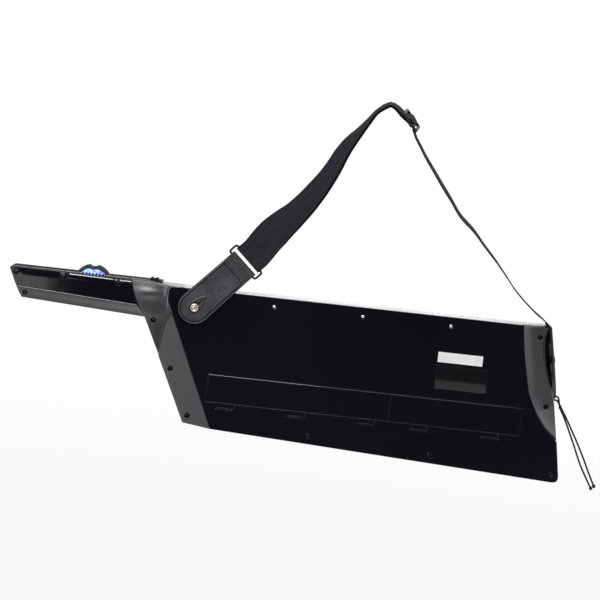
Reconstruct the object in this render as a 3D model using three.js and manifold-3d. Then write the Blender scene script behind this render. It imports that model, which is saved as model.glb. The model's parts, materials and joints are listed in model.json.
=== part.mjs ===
// A keytar: a 37-key keyboard worn on a shoulder strap, with a neck that carries a bend wheel and a rocker.
// Millimetres. +X runs from the neck to the far end, +Z up to the free ends of the keys, and +Y from the
// glossy back to the playing side. The drawing's zero is the heel, the casing's lower left corner on the
// plane of the back. The finished group is moved so that the top of the strap is the part's origin.
import * as THREE from "three";
import { mergeVertices } from "three/addons/utils/BufferGeometryUtils.js";
import Module from "manifold-3d";

const wasm = await Module();
wasm.setup();

// Shared clearances and fineness
const gap = 0.3; // between pieces that seat on each other
const overrun = 1; // how far a cut runs past the face that it opens
const cornerSteps = 4; // chords in a rounded corner
const holeSides = 12; // sides of a screw hole or a peg
const wall = 2.5; // thickness of the moulded shells

// Casing outline
const bodyTopZ = 213;
const bodyDepth = 47; // back plane to front panel
const endReach = 84.5; // last key to the casing's lower right corner
const lowDrop = 30.2; // that corner lies this far below the heel
const slantRun = 74.9; // the left side leans out this far
const plateFootX = 45.3; // where the collar ends along the lower edge
const plateFootDrop = 4.5;
const lowCornerRadius = 10;
const topCornerRadius = 5;
const partingY = 14; // where the deep back mouldings meet the front ones
const plateRimY = 5; // where the back plate meets the front shell

// Neck
const neckStep = 4; // the neck stands this far above the body
const neckHeight = 57.9;
const neckSetback = 3; // its face lies this far behind the body's
const neckReach = 291.5; // heel to the tip of the neck
const tipLean = 22;
const tipHeight = 48;
const neckEndRun = 54; // the neck's front moulding butts on the body here, left of the heel
const tipRadius = 3;
const splitTipDrop = 28.7; // top to the line between glossy back and matte grip, at the tip
const splitRootDrop = 38.6; // and at the collar
const gripSlopeY = 10.5; // how far the grip's lower edge lies in from the back
const tenonLength = 34; // tongue of the neck inside the body
const tenonHeight = 33;
const tenonDepth = 18;
const tenonInset = 13.4; // tongue above the neck's underside

// Collar
const collarBlend = 26; // the collar's top falls from the neck to the body over this run
const collarFlare = 26.7; // how far the collar runs out along the neck
const flareShares = [
  [1, 1],
  [0.734, 0.665],
  [0.494, 0.361],
  [0.24, 0.171],
];
const collarProud = 1.5; // the collar stands above the glossy plate
const collarLowY = 5; // depth of the collar's back at its outer edge
const collarRootY = 1.5; // depth of its back beside the neck
const creaseHighShare = 0.955; // where the crease leaves the plate, up the plate's side
const creaseLowShare = 0.678; // where it reaches the outer edge, up the slant
const creaseBowShare = 0.5;
const creaseBow = 10; // how far the crease bows from its chord

// Glossy back plate
const plateHeadRun = 37.2;
const plateHeadZ = 183.3;
const plateBulge = 5.9; // the plate's head swells past its slanted side
const plateBulgeZ = 196;
const plateCornerRadius = 8;

// End cap at the far end: a crescent, dished where the strap's tab lies
const endLean = 35.3; // the end face leans by this much from the cap's foot to its top
const lowLean = 11.2; // and by this much below the cap
const capTopWidth = 38.7;
const capFootZ = 35.6;
const crescentShares = [
  [0.01, 0.96],
  [0.092, 0.745],
  [0.283, 0.406],
  [0.456, 0.261],
  [0.713, 0.097],
];
const capProud = 1;
const dishDepth = 10; // how far the dish falls in at the end's edge
const dishFootShare = 0.68; // its lower end, down the end's edge
const dishMiddleShare = 0.45;
// The dish's rim, in shares of its run and rise from its foot to the top corner
const dishShares = [
  [0.375, 0.187],
  [0.84, 0.415],
  [1.25, 0.77],
  [1.25, 0.9],
];

// Screw recesses, seen on the back
const screwHeadRadius = 4;
const screwRecess = 3.4; // depth of a recess below its surface
const screwShankRadius = 1.7;
const pilotRadius = 1.2;
const postRadius = 4;
const topScrewInset = 14.7;
const topScrewShares = [0.282, 0.515, 0.747];
const lowScrewInset = 13;
const lowScrewShares = [0.276, 0.624, 0.974];
const collarScrewInset = 12.4;
const collarScrewShares = [0.9825, 0.528, 0.078];
const capScrewHighInset = 11.2; // in from the end's top corner
const capScrewHighDrop = 16; // and down from it
const capScrewLowInset = 13.5;
const capScrewLowShare = 0.305; // up the end's edge
const neckScrewInset = 7.6;
const neckScrewShares = [0.116, 0.86]; // from the tip to the wheel
const neckScrewRootShare = 0.38; // from the wheel to the collar
const gripScrewInset = 5.5;
const gripScrewRise = 9;
const screwSeat = 4.2; // a screw's seat lies this far in from the plate

// Compartments and their doors
const doorLowZ = 38.6;
const doorHighZ = 82.6;
const doorInset = 11.7; // the doors start this far left of the plate's foot
const doorMidShare = 0.5814;
const doorReach = 13.2; // and end this far past the last key
const doorSeam = 0.4;
const doorThick = 2;
const doorLedge = 2;
const bayRoom = 6.5; // between a compartment's floor and the key frame
const bayWall = 1.5;
const latchWidth = 31;
const latchDrop = 9.6; // height of the finger recess below the door
const latchLean = 3; // its slanted end
const latchRecess = 3.2;
const latchMargin = 0.8;
const tongueThick = 1.2;
const tongueSink = 1.1;
const latchLeftShares = [0.11, 0.5, 0.88];
const latchRightShares = [0.235, 0.775];
const hingeRadius = 1; // the door's rolled hinge edge

// Keys
const keyLeftRun = 6.2; // the first key starts this far left of the heel
const whitePitch = 23.6;
const keyGap = 1;
const keyLipInset = 0.5; // the keys' fronts lie this far below the body's top
const keyVisible = 145;
const keyProud = 1; // white keys stand above the panel
const keyPlate = 8; // thickness of a white key's top
const keyLipDrop = 17; // height of its front lip, top to bottom
const keyLipThick = 3;
const keyTailLength = 22.5; // hidden stretch behind the panel's edge
const keyTailDrop = 11.5; // key top to the underside of the tail
const keyTailThick = 6;
const keyTailOverlap = 4.5;
const blackLength = 95;
const blackBase = 12.6;
const blackTop = 9.6;
const blackRise = 11; // black keys stand above the white ones
const blackHeel = 2.5; // its top starts this far from its foot
const blackSlope = 7.5; // length of its slanted front
const octaves = 3;
const whitesPerOctave = 7;
// Centres of the five black keys in an octave, in white keys
const blackCentreShares = [0.9, 2.1, 3.857, 5, 6.143];

// Key frame
const pivotSetback = 17.5; // from the panel's edge back to the pivot
const framePlate = 2.5;
const frameGap = 0.5; // the frame lies this far in front of the back mouldings
const frameRise = 12.5; // below the key tails
const frameStepRoom = 2.4; // above the compartments
const frameFoot = 10; // pivot to the frame's lower edge
const frameTopRoom = 5; // below the slip wall
const frameRail = 3;
const frameRailDrop = 13; // top edge to the guide rail
const railRoom = 13; // rail to the underside of the keys
const framePivotWidth = 3;
const frameSide = 3.5; // the frame runs this far past the end keys
const keyRoom = 12; // room for a key's lip above the casing's shelf
const slipRoom = 1.5; // between the slip wall and the key lips

// Pads, their mat and the board under it
const padCount = 8;
const padWidth = 37;
const padHeight = 30;
const padPitch = 44;
const padLeftX = 62;
const padLowZ = 9;
const padProud = 2;
const padGap = 0.7;
const matMargin = 3;
const matThick = 1.2;
const boardThick = 1.6;
const boardPostRadius = 3;
const padCorner = 4;
const boardTab = 9; // the board runs past the mat to its screws

// Bend wheel
const wheelShare = 0.682; // from the tip to the collar
const wheelSink = 15; // its axle lies this far below the neck's top
const wheelRadius = 30;
const tyreThick = 5.6;
const wheelLowY = 15.5;
const wheelWidth = 11;
const tyreSide = 0.8; // the tyre is wider than the disc by this much a side
const axleRadius = 3;
const bearingRadius = 6;
const bearingGap = 1.2;
const bearingBite = 3; // how deep a stub axle sits in its bearing
const wheelSides = 40;
const dipRadius = 10;
const dipDepth = 3.6;
const wheelSlotGap = 1.3;

// Rocker on the neck's top edge
const rockerRun = 66;
const rockerLength = 13;
const rockerWidth = 8;
const rockerY = 22;
const rockerProud = 4.6;
const rockerDip = 1.6;
const rockerPivotDrop = 5.5; // pivot below the neck's top
const rockerPinRadius = 1.3;
const rockerPinLength = 1.4;
const rockerRoom = 0.8;
const earThick = 1.6;
const earRadius = 3.2;

// Strap buttons
const buttonBaseRadius = 7;
const buttonBaseThick = 2;
const buttonPostRadius = 3.8;
const buttonHeadRadius = 7.2;
const buttonHeadThick = 3.6;
const buttonSides = 20;
const leftButtonX = 1.5;
const leftButtonZ = 184.9;
const leftPostLength = 7;
const rightPostLength = 6.4;
const rightBaseThick = 1.4;
const rightButtonShare = 0.3; // down the end face

// Leather tabs
const leatherThick = 3.2;
const leftLeatherStand = 3.4; // the leather lies this far off the back plate
const leatherEndRadius = 26;
const leatherRingWidth = 49;
const leatherLength = 99.2; // button to the ring's lower bar
const leatherAngle = 47.7; // degrees above +X
const leatherHole = 4.3;
const slitLength = 22;
const slitWidth = 1.6;
const foldLength = 21; // doubled stretch at the ring
const flapStand = 1.4; // the folded flap stands this far off the leather's inner face
const leatherEndSteps = 10;
const rightLeatherStand = 2.5; // distance of the right tab from the end face
const rightTabAbove = 56; // button to upper end
const rightTabBelow = 62; // button to tip
const rightTabWidth = 49;
const laceHoleInset = 5;
const laceHoleRadius = 2.7;

// Ring, webbing and slider
const ringBar = 3.4;
const ringLength = 62;
const ringOpening = 11.4; // between its two long bars
const ringCorner = 4;
const webWidth = 50;
const webThick = 1.6;
const webLayers = 1.2; // half the distance between the middles of the two layers
const strapTopX = 267;
const strapTopY = 22;
const strapTopZ = 527.7;
const webStraight = 14; // the webbing leaves the ring in the tab's direction
const webEase = 26; // its two layers close up over this stretch from the ring
const webStep = 12; // distance between its stations
const turnSteps = 8;
const routeSamples = 400;
// The strap's left leg, in shares of its run and rise from the ring to the top
const leftRouteShares = [
  [0.139, 0.136],
  [0.229, 0.215],
  [0.332, 0.295],
  [0.417, 0.3725],
  [0.49, 0.45],
  [0.5546, 0.5265],
  [0.609, 0.6025],
  [0.654, 0.677],
  [0.713, 0.753],
  [0.791, 0.831],
  [0.8526, 0.895],
  [0.9037, 0.947],
];
// How far it has turned on edge by then, in shares of the rise and of a quarter turn
const turnShares = [
  [0, 0],
  [0.136, 0],
  [0.215, 0.3],
  [0.295, 0.481],
  [0.3725, 0.549],
  [0.45, 0.602],
  [0.5265, 0.666],
  [0.6025, 0.708],
  [0.677, 0.744],
  [0.753, 0.798],
  [0.831, 0.896],
  [0.895, 0.947],
  [0.947, 0.97],
  [1, 0.945],
];
// Its right leg, in shares of its run and drop from the top to the tab at the far end
const rightRouteShares = [
  [0.014, -0.002],
  [0.037, 0.007],
  [0.067, 0.029],
  [0.098, 0.056],
  [0.126, 0.085],
  [0.148, 0.12],
  [0.16, 0.146],
  [0.187, 0.183],
  [0.224, 0.23],
  [0.282, 0.299],
  [0.338, 0.368],
  [0.397, 0.437],
  [0.454, 0.507],
  [0.537, 0.574],
  [0.605, 0.643],
  [0.676, 0.711],
  [0.742, 0.781],
  [0.805, 0.85],
  [0.858, 0.896],
  [0.915, 0.941],
];
// How far it has turned there, in shares of the run and of a quarter turn
const rightTurnShares = [
  [0, 0.945],
  [0.1, 0.88],
  [0.16, 0.945],
  [0.34, 0.93],
  [0.52, 0.945],
  [0.68, 0.967],
  [0.86, 0.989],
  [1, 1],
];
const sliderShare = 0.114; // place of the slider along the right leg
const sliderLength = 36;
const sliderWidth = 59;
const sliderThick = 4.4;
const sliderBar = 3; // width of its middle bar
const sliderRim = 4;
const sliderSewn = 7; // the webbing's sewn end under the middle bar
const webEndLap = 26; // the webbing's end lies this far down behind the right tab

// Lace: the cord's route is a list of points in the drawing frame
const laceRadius = 1.1;
const laceSides = 8;
const laceStepsEach = 3; // chords between two points of its route
const knotRadius = 3;
const laceRoute = [
  [652, 21, -36],
  [648.5, 20.7, -30.5],
  [640.5, 20.2, -17.5],
  [632.5, 19.8, -4],
  [625, 19.5, 11],
  [617.5, 19.3, 27.5],
  [610, 19.2, 43],
  [602.5, 19.2, 58.5],
  [594.5, 19.4, 74],
  [587, 20, 87.5],
  [582.8, 20.6, 102.2],
  [580.1, 21, 103.7],
  [577.3, 21.4, 104.2],
  [575.2, 21.7, 103.5],
  [574.5, 21.9, 101.9],
  [574.9, 22.1, 99.8],
  [576, 22.3, 98.2],
  [578.4, 22.6, 97.6],
  [581.3, 23, 97.4],
  [588.8, 23.8, 87.5],
  [596.8, 24.3, 75.5],
  [604.5, 24.7, 63],
  [612.5, 25, 49.5],
  [620.5, 25, 36],
  [628.5, 25, 21.5],
  [636.5, 25, 6.5],
  [644, 25, -8.5],
  [651, 25, -22],
  [657, 25, -33],
];

// Places worked out from the sizes above
const neckTopZ = bodyTopZ + neckStep;
const neckDepth = bodyDepth - neckSetback;
const slantRise = neckTopZ - neckHeight;
const neckTipTopX = -neckReach;
const neckTipLowX = neckTipTopX + tipLean;
const neckTipLowZ = neckTopZ - tipHeight;
const neckEndX = -neckEndRun;
const splitTipZ = neckTopZ - splitTipDrop;
const splitRootZ = neckTopZ - splitRootDrop;
const whiteCount = octaves * whitesPerOctave + 1;
const keyLeftX = -keyLeftRun;
const keyRightX = keyLeftX + whiteCount * whitePitch;
const keyLipZ = bodyTopZ - keyLipInset;
const keyFootZ = keyLipZ - keyVisible;
const keyTopY = bodyDepth + keyProud;
const keyTailLowY = keyTopY - keyTailDrop;
const bodyRightLowX = keyRightX + endReach;
const bodyRightLowZ = -lowDrop;
const capFootX = bodyRightLowX - lowLean;
const endTopX = capFootX - endLean;
const capTopX = endTopX - capTopWidth;
const plateFootZ = -plateFootDrop;
const plateHeadX = -plateHeadRun;
const doorLeftX = plateFootX - doorInset;
const doorRightX = keyRightX + doorReach;
const doorMidX = doorLeftX + (doorRightX - doorLeftX) * doorMidShare;
const frameHighY = keyTailLowY - frameRise;
const frameLowY = partingY + frameGap;
const bayFloorY = frameHighY - bayRoom;
const framePivotZ = keyFootZ - pivotSetback;
const frameFootZ = framePivotZ - frameFoot;
const frameStepZ = doorHighZ + bayWall + frameStepRoom;
const slipShelfY = keyTopY - keyLipDrop - keyRoom;
const frameRailTopY = keyTopY - keyPlate - railRoom;
const slipWallTopY = frameRailTopY;
const slipWallZ = keyLipZ - keyLipThick - slipRoom;
const frameTopZ = slipWallZ - frameTopRoom;
const frameRailZ = frameTopZ - frameRailDrop;
const collarStartX = -slantRun - collarFlare;
const wheelX = neckTipTopX + (collarStartX - neckTipTopX) * wheelShare;
const wheelZ = neckTopZ - wheelSink;
const rockerX = -rockerRun;
const leftLeatherY = -leftLeatherStand;

// A point on the line from a to b at height z, and one at place x
const onLine = (a, b, z) => a[0] + ((b[0] - a[0]) * (z - a[1])) / (b[1] - a[1]);
const atPlace = (a, b, x) => a[1] + ((b[1] - a[1]) * (x - a[0])) / (b[0] - a[0]);
const between = (a, b, share) => a.map((v, i) => v + (b[i] - v) * share);

// Turns an outline's corners round: a point is [x, z] or [x, z, radius]
function rounded(points) {
  return points.flatMap((point, i) => {
    const [x, z, radius] = point;
    if (!radius) return [[x, z]];
    const corner = new THREE.Vector2(x, z);
    const [px, pz] = points[(i + points.length - 1) % points.length];
    const [nx, nz] = points[(i + 1) % points.length];
    const toLast = new THREE.Vector2(px, pz).sub(corner).normalize();
    const toNext = new THREE.Vector2(nx, nz).sub(corner).normalize();
    const half = Math.acos(THREE.MathUtils.clamp(toLast.dot(toNext), -1, 1)) / 2;
    const reach = radius / Math.tan(half);
    const start = toLast.clone().multiplyScalar(reach).add(corner);
    const end = toNext.clone().multiplyScalar(reach).add(corner);
    const curve = new THREE.QuadraticBezierCurve(start, corner, end);
    return curve.getPoints(cornerSteps).map((p) => [p.x, p.y]);
  });
}

const signedArea = (points) =>
  points.reduce((sum, [x, z], i) => {
    const [nx, nz] = points[(i + 1) % points.length];
    return sum + (x * nz - nx * z) / 2;
  }, 0);

// Moves an outline's sides inwards, or outwards for a negative distance
function inset(points, distance) {
  const turn = Math.sign(signedArea(points));
  const plain = points.map(([x, z]) => new THREE.Vector2(x, z));
  return plain.map((corner, i) => {
    const before = corner.clone().sub(plain[(i + plain.length - 1) % plain.length]).normalize();
    const after = plain[(i + 1) % plain.length].clone().sub(corner).normalize();
    const inward = (d) => new THREE.Vector2(-d.y * turn, d.x * turn);
    const bisector = inward(before).add(inward(after));
    const scale = (2 * distance) / bisector.lengthSq();
    return [corner.x + bisector.x * scale, corner.y + bisector.y * scale, points[i][2]];
  });
}

function toSolid(geometry) {
  const bare = geometry.clone();
  bare.deleteAttribute("normal");
  bare.deleteAttribute("uv");
  const merged = mergeVertices(bare);
  return new wasm.Manifold(
    new wasm.Mesh({
      numProp: 3,
      vertProperties: new Float32Array(merged.attributes.position.array),
      triVerts: new Uint32Array(merged.index.array),
    }),
  );
}

function toGeometry(solid) {
  const { vertProperties, triVerts } = solid.getMesh();
  const geometry = new THREE.BufferGeometry();
  geometry.setAttribute("position", new THREE.BufferAttribute(vertProperties, 3));
  geometry.setIndex(new THREE.BufferAttribute(triVerts, 1));
  geometry.computeVertexNormals();
  return geometry;
}

const union = (first, ...rest) => rest.flat(Infinity).reduce((sum, piece) => sum.add(piece), first);
const cut = (first, ...rest) => rest.flat(Infinity).reduce((left, piece) => left.subtract(piece), first);

function shapeOf(points, holes = []) {
  const shape = new THREE.Shape(points.map(([x, y]) => new THREE.Vector2(x, y)));
  shape.holes = holes.map((hole) => new THREE.Path(hole.map(([x, y]) => new THREE.Vector2(x, y))));
  return shape;
}

// A plate with an outline in X and Z that fills lowY to highY
function slab(points, lowY, highY, holes) {
  const geometry = new THREE.ExtrudeGeometry(shapeOf(points, holes), {
    depth: highY - lowY,
    bevelEnabled: false,
  });
  geometry.rotateX(Math.PI / 2);
  geometry.translate(0, highY, 0);
  return toSolid(geometry);
}

// A bar with a profile in Y and Z that fills lowX to highX
function bar(profile, lowX, highX) {
  const geometry = new THREE.ExtrudeGeometry(shapeOf(profile), {
    depth: highX - lowX,
    bevelEnabled: false,
  });
  const turn = new THREE.Matrix4().makeBasis(
    new THREE.Vector3(0, 1, 0),
    new THREE.Vector3(0, 0, 1),
    new THREE.Vector3(1, 0, 0),
  );
  geometry.applyMatrix4(turn);
  geometry.translate(lowX, 0, 0);
  return toSolid(geometry);
}

function block([lowX, highX], [lowY, highY], [lowZ, highZ]) {
  const geometry = new THREE.BoxGeometry(highX - lowX, highY - lowY, highZ - lowZ);
  geometry.translate((lowX + highX) / 2, (lowY + highY) / 2, (lowZ + highZ) / 2);
  return toSolid(geometry);
}

// A round peg along Y, and one along X
function peg(x, z, lowY, highY, radius, sides = holeSides) {
  const geometry = new THREE.CylinderGeometry(radius, radius, highY - lowY, sides);
  geometry.translate(x, (lowY + highY) / 2, z);
  return toSolid(geometry);
}

function crossPeg(y, z, lowX, highX, radius, sides = holeSides) {
  const geometry = new THREE.CylinderGeometry(radius, radius, highX - lowX, sides);
  geometry.rotateZ(Math.PI / 2);
  geometry.translate((lowX + highX) / 2, y, z);
  return toSolid(geometry);
}

// A plate whose back surface is a height field: faces are lists of outline and inner points
function wedge(outline, inner, faces, backY, frontY) {
  const all = [...outline, ...inner];
  const count = outline.length;
  const positions = [];
  all.forEach(([x, z]) => positions.push(x, backY(x, z), z));
  outline.forEach(([x, z]) => positions.push(x, frontY, z));
  const index = [];
  faces.forEach((face) => {
    const flat = face.map((i) => new THREE.Vector2(...all[i]));
    THREE.ShapeUtils.triangulateShape(flat, []).forEach(([a, b, c]) =>
      index.push(face[a], face[b], face[c]),
    );
  });
  const front = outline.map((p) => new THREE.Vector2(...p));
  THREE.ShapeUtils.triangulateShape(front, []).forEach(([a, b, c]) =>
    index.push(all.length + a, all.length + c, all.length + b),
  );
  outline.forEach((_, i) => {
    const next = (i + 1) % count;
    index.push(i, all.length + i, next, next, all.length + i, all.length + next);
  });
  const geometry = new THREE.BufferGeometry();
  geometry.setAttribute("position", new THREE.Float32BufferAttribute(positions, 3));
  geometry.setIndex(index);
  return toSolid(geometry);
}

// A flat band swept through stations, each with a middle, a width direction and a normal
function band(stations, width, thickness) {
  const corners = [
    [-1, -1],
    [1, -1],
    [1, 1],
    [-1, 1],
  ];
  const positions = stations.flatMap(({ middle, across, normal }) =>
    corners.flatMap(([u, v]) =>
      middle
        .clone()
        .addScaledVector(across, (u * width) / 2)
        .addScaledVector(normal, (v * thickness) / 2)
        .toArray(),
    ),
  );
  const sides = corners.length;
  const index = [];
  for (let i = 0; i < stations.length - 1; i++) {
    for (let k = 0; k < sides; k++) {
      const a = i * sides + k;
      const b = i * sides + ((k + 1) % sides);
      index.push(a, b, b + sides, a, b + sides, a + sides);
    }
  }
  const last = (stations.length - 1) * sides;
  index.push(0, 2, 1, 0, 3, 2);
  index.push(last, last + 1, last + 2, last, last + 2, last + 3);
  const geometry = new THREE.BufferGeometry();
  geometry.setAttribute("position", new THREE.Float32BufferAttribute(positions, 3));
  geometry.setIndex(index);
  return toSolid(geometry);
}

// Corner order of a six-sided block: low face first, then the high one
const boxFaces = [
  [0, 1, 2, 3],
  [4, 7, 6, 5],
  [0, 4, 5, 1],
  [1, 5, 6, 2],
  [2, 6, 7, 3],
  [3, 7, 4, 0],
].flatMap(([a, b, c, d]) => [a, b, c, a, c, d]);

const part = new THREE.Group();
const drawing = new THREE.Group();
drawing.position.set(-strapTopX, -strapTopY, -strapTopZ);
part.add(drawing);

const finishes = {
  white: { color: "#e9eaec", roughness: 0.3, metalness: 0 },
  gloss: { color: "#0b0b0f", roughness: 0.08, metalness: 0 },
  matte: { color: "#3a3b3d", roughness: 0.6, metalness: 0 },
  dark: { color: "#1b1b1d", roughness: 0.45, metalness: 0 },
  rubber: { color: "#141414", roughness: 0.85, metalness: 0 },
  blue: { color: "#2457ff", roughness: 0.2, metalness: 0 },
  board: { color: "#1f5a35", roughness: 0.5, metalness: 0 },
  grey: { color: "#6d6f73", roughness: 0.55, metalness: 0 },
  steel: { color: "#b9b4ab", roughness: 0.25, metalness: 1 },
  leather: { color: "#2b2b2e", roughness: 0.6, metalness: 0 },
  webbing: { color: "#17171b", roughness: 0.9, metalness: 0 },
};

function addNode(name, solid, finish) {
  const material = new THREE.MeshStandardMaterial(finishes[finish]);
  const mesh = new THREE.Mesh(toGeometry(solid), material);
  mesh.name = name;
  drawing.add(mesh);
}

// Outlines shared by neighbours, anticlockwise in X and Z
const heel = [0, 0];
const slantTop = [-slantRun, slantRise];
const plateFoot = [plateFootX, plateFootZ];
const lowRight = [bodyRightLowX, bodyRightLowZ];
const capFoot = [capFootX, capFootZ];
const endTop = [endTopX, bodyTopZ];
const capTop = [capTopX, bodyTopZ];
const crescent = crescentShares.map(([across, up]) => [
  capTopX + (capFootX - capTopX) * across,
  capFootZ + (bodyTopZ - capFootZ) * up,
]);
const flare = flareShares.map(([out, up]) => [
  -slantRun - collarFlare * out,
  slantRise + (neckTopZ - slantRise) * up,
]);
const plateHead = [plateHeadX, plateHeadZ];
const plateBulgeX = plateHeadX - plateBulge;
const plateTop = [plateBulgeX, bodyTopZ];
const neckRoot = [onLine(heel, slantTop, slantRise - gap), slantRise - gap];

const bodyOutline = rounded([
  heel,
  plateFoot,
  [...lowRight, lowCornerRadius],
  capFoot,
  [...endTop, topCornerRadius],
  [neckEndX + gap, bodyTopZ],
  [neckEndX + gap, slantRise - gap],
  neckRoot,
]);
const plateOutline = rounded([
  plateFoot,
  [...lowRight, lowCornerRadius],
  capFoot,
  ...crescent.slice().reverse(),
  capTop,
  [...plateTop, plateCornerRadius],
  [plateBulgeX, plateBulgeZ],
  plateHead,
]);

// The leaning sides of the body
const endDown = new THREE.Vector3(capFootX - endTopX, 0, capFootZ - bodyTopZ).normalize();
const endOut = new THREE.Vector3(-endDown.z, 0, endDown.x);
const alongEnd = (share) => between(endTop, capFoot, share);

// Screw places, in X and Z
const topScrews = topScrewShares.map((s) => [
  plateBulgeX + (endTopX - plateBulgeX) * s,
  bodyTopZ - topScrewInset,
]);
const lowScrews = lowScrewShares.map((s) => {
  const [x, z] = between(plateFoot, lowRight, s);
  return [x, z + lowScrewInset];
});
const collarScrews = collarScrewShares.map((s) => {
  const [x, z] = between(heel, slantTop, s);
  return [x + collarScrewInset, z];
});
const capLow = alongEnd(1 - capScrewLowShare);
const capScrews = [
  [endTopX - capScrewHighInset, bodyTopZ - capScrewHighDrop],
  [capLow[0] - capScrewLowInset, capLow[1]],
];
const neckLeft = [neckTipTopX, neckTopZ];
const neckLow = [neckTipLowX, neckTipLowZ];
const wheelEdges = [wheelX - wheelRadius, wheelX + wheelRadius];
const neckScrews = [
  ...neckScrewShares.map((s) => neckTipTopX + (wheelEdges[0] - neckTipTopX) * s),
  wheelEdges[1] + (collarStartX - wheelEdges[1]) * neckScrewRootShare,
].map((x) => [x, neckTopZ - neckScrewInset]);
const gripScrew = [neckTipLowX + gripScrewInset, neckTipLowZ + gripScrewRise];

// A counterbored hole from the back with the well round it, and the post that its screw bites into
const screwHole = ([x, z], surfaceY, deepY) => [
  peg(x, z, surfaceY - overrun, surfaceY + screwRecess, screwHeadRadius),
  peg(x, z, surfaceY, deepY + overrun, screwShankRadius),
];
const screwWell = ([x, z], lowY, highY) => peg(x, z, lowY, highY, screwHeadRadius + bayWall);
const post = ([x, z], lowY, highY) => peg(x, z, lowY, highY, postRadius);
const pilot = ([x, z], lowY, highY) => peg(x, z, lowY - overrun, highY, pilotRadius);

// Collar: a shell whose back falls from the plate to the outer edge, in two faces that meet at a crease
const creaseHigh = between(plateFoot, plateHead, creaseHighShare);
const creaseLow = between(heel, slantTop, creaseLowShare);
const creaseChord = new THREE.Vector2(creaseLow[0] - creaseHigh[0], creaseLow[1] - creaseHigh[1]);
const creaseSide = new THREE.Vector2(creaseChord.y, -creaseChord.x).normalize();
const creaseMiddle = between(creaseHigh, creaseLow, creaseBowShare).map(
  (v, i) => v + creaseSide.getComponent(i) * creaseBow,
);
const collarOutline = [
  heel,
  plateFoot,
  creaseHigh,
  plateHead,
  [plateBulgeX, plateBulgeZ],
  plateTop,
  [plateBulgeX - collarBlend, neckTopZ],
  ...flare,
  slantTop,
  creaseLow,
];
const collarLast = collarOutline.length - 1;
const collarFaces = [
  [0, 1, 2, collarLast + 1, collarLast],
  [...Array.from({ length: collarLast - 1 }, (_, i) => i + 2), collarLast + 1],
];

function collarBackY(x, z) {
  const edgeX = z > slantRise ? onLine(slantTop, flare[0], z) : onLine(heel, slantTop, z);
  const innerX = z > plateHeadZ ? plateBulgeX : onLine(plateFoot, plateHead, z);
  const inward = THREE.MathUtils.clamp((x - edgeX) / (innerX - edgeX), 0, 1);
  const edgeY = z > slantRise ? collarRootY : collarLowY;
  return edgeY + (-collarProud - edgeY) * inward;
}

function collar() {
  const shrink = (points) => inset(points, gap / 2);
  const outline = shrink(collarOutline);
  const hollow = inset(collarOutline, wall);
  const outer = wedge(outline, [creaseMiddle], collarFaces, collarBackY, partingY);
  const innerBackY = (x, z) => collarBackY(x, z) + wall;
  const inner = wedge(hollow, [creaseMiddle], collarFaces, innerBackY, partingY + overrun);
  const wells = collarScrews.map((place) =>
    screwWell(place, collarBackY(...place) + wall / 2, partingY),
  );
  const holes = collarScrews.map((place) => screwHole(place, collarBackY(...place), partingY));
  return cut(union(cut(outer, inner), wells), holes);
}

// End cap: a crescent whose back is dished where the strap's tab lies
const dishFoot = alongEnd(dishFootShare);
const dishMiddle = alongEnd(dishMiddleShare);
const dishRim = dishShares.map(([across, up]) => [
  dishFoot[0] + (endTopX - dishFoot[0]) * across,
  dishFoot[1] + (bodyTopZ - dishFoot[1]) * up,
]);
const capOutline = [capFoot, dishFoot, dishMiddle, endTop, capTop, ...crescent];

function endCap() {
  const outline = inset(capOutline, gap / 2);
  const hollow = inset(capOutline, wall);
  const rimStart = capOutline.length;
  const rim = dishRim.map((_, i) => rimStart + i);
  const crescentIndex = crescent.map((_, i) => i + 5);
  const faces = [
    [0, 1, ...rim, 3, 4, ...crescentIndex],
    [1, 2, 3, ...rim.slice().reverse()],
  ];
  const backY = (x, z) => {
    const middle = Math.abs(z - dishMiddle[1]) < topCornerRadius && x > dishMiddle[0] - wall * 2;
    return middle ? dishDepth : -capProud;
  };
  const outer = wedge(outline, dishRim, faces, backY, partingY);
  const inner = slab(
    inset([capFoot, dishFoot, ...dishRim, endTop, capTop, ...crescent], wall),
    wall - capProud,
    partingY + overrun,
  );
  const wells = capScrews.map((place) => screwWell(place, 0, partingY));
  const holes = capScrews.map((place) => screwHole(place, -capProud, partingY));
  return cut(union(cut(outer, inner), wells), holes);
}

// Front shell: the white playing side with its walls, key well and pad windows
const panelInnerY = bodyDepth - wall;
const matBackY = panelInnerY - gap - matThick;
const boardFrontY = matBackY - gap;
const boardBackY = boardFrontY - boardThick;
const padRow = Array.from({ length: padCount }, (_, i) => padLeftX + padPitch * i);
const padRightX = padRow[padCount - 1] + padWidth;
const padHighZ = padLowZ + padHeight;
const matX = [padLeftX - matMargin, padRightX + matMargin];
const matZ = [padLowZ - matMargin, padHighZ + matMargin];
const boardX = [matX[0] - boardTab, matX[1] + boardTab];
const boardPosts = boardX.map((x, i) => [x + boardTab * (0.5 - i), (matZ[0] + matZ[1]) / 2]);
const tenonLowY = partingY + gap + wall * 2;
const tenonLowZ = slantRise + tenonInset;

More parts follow.
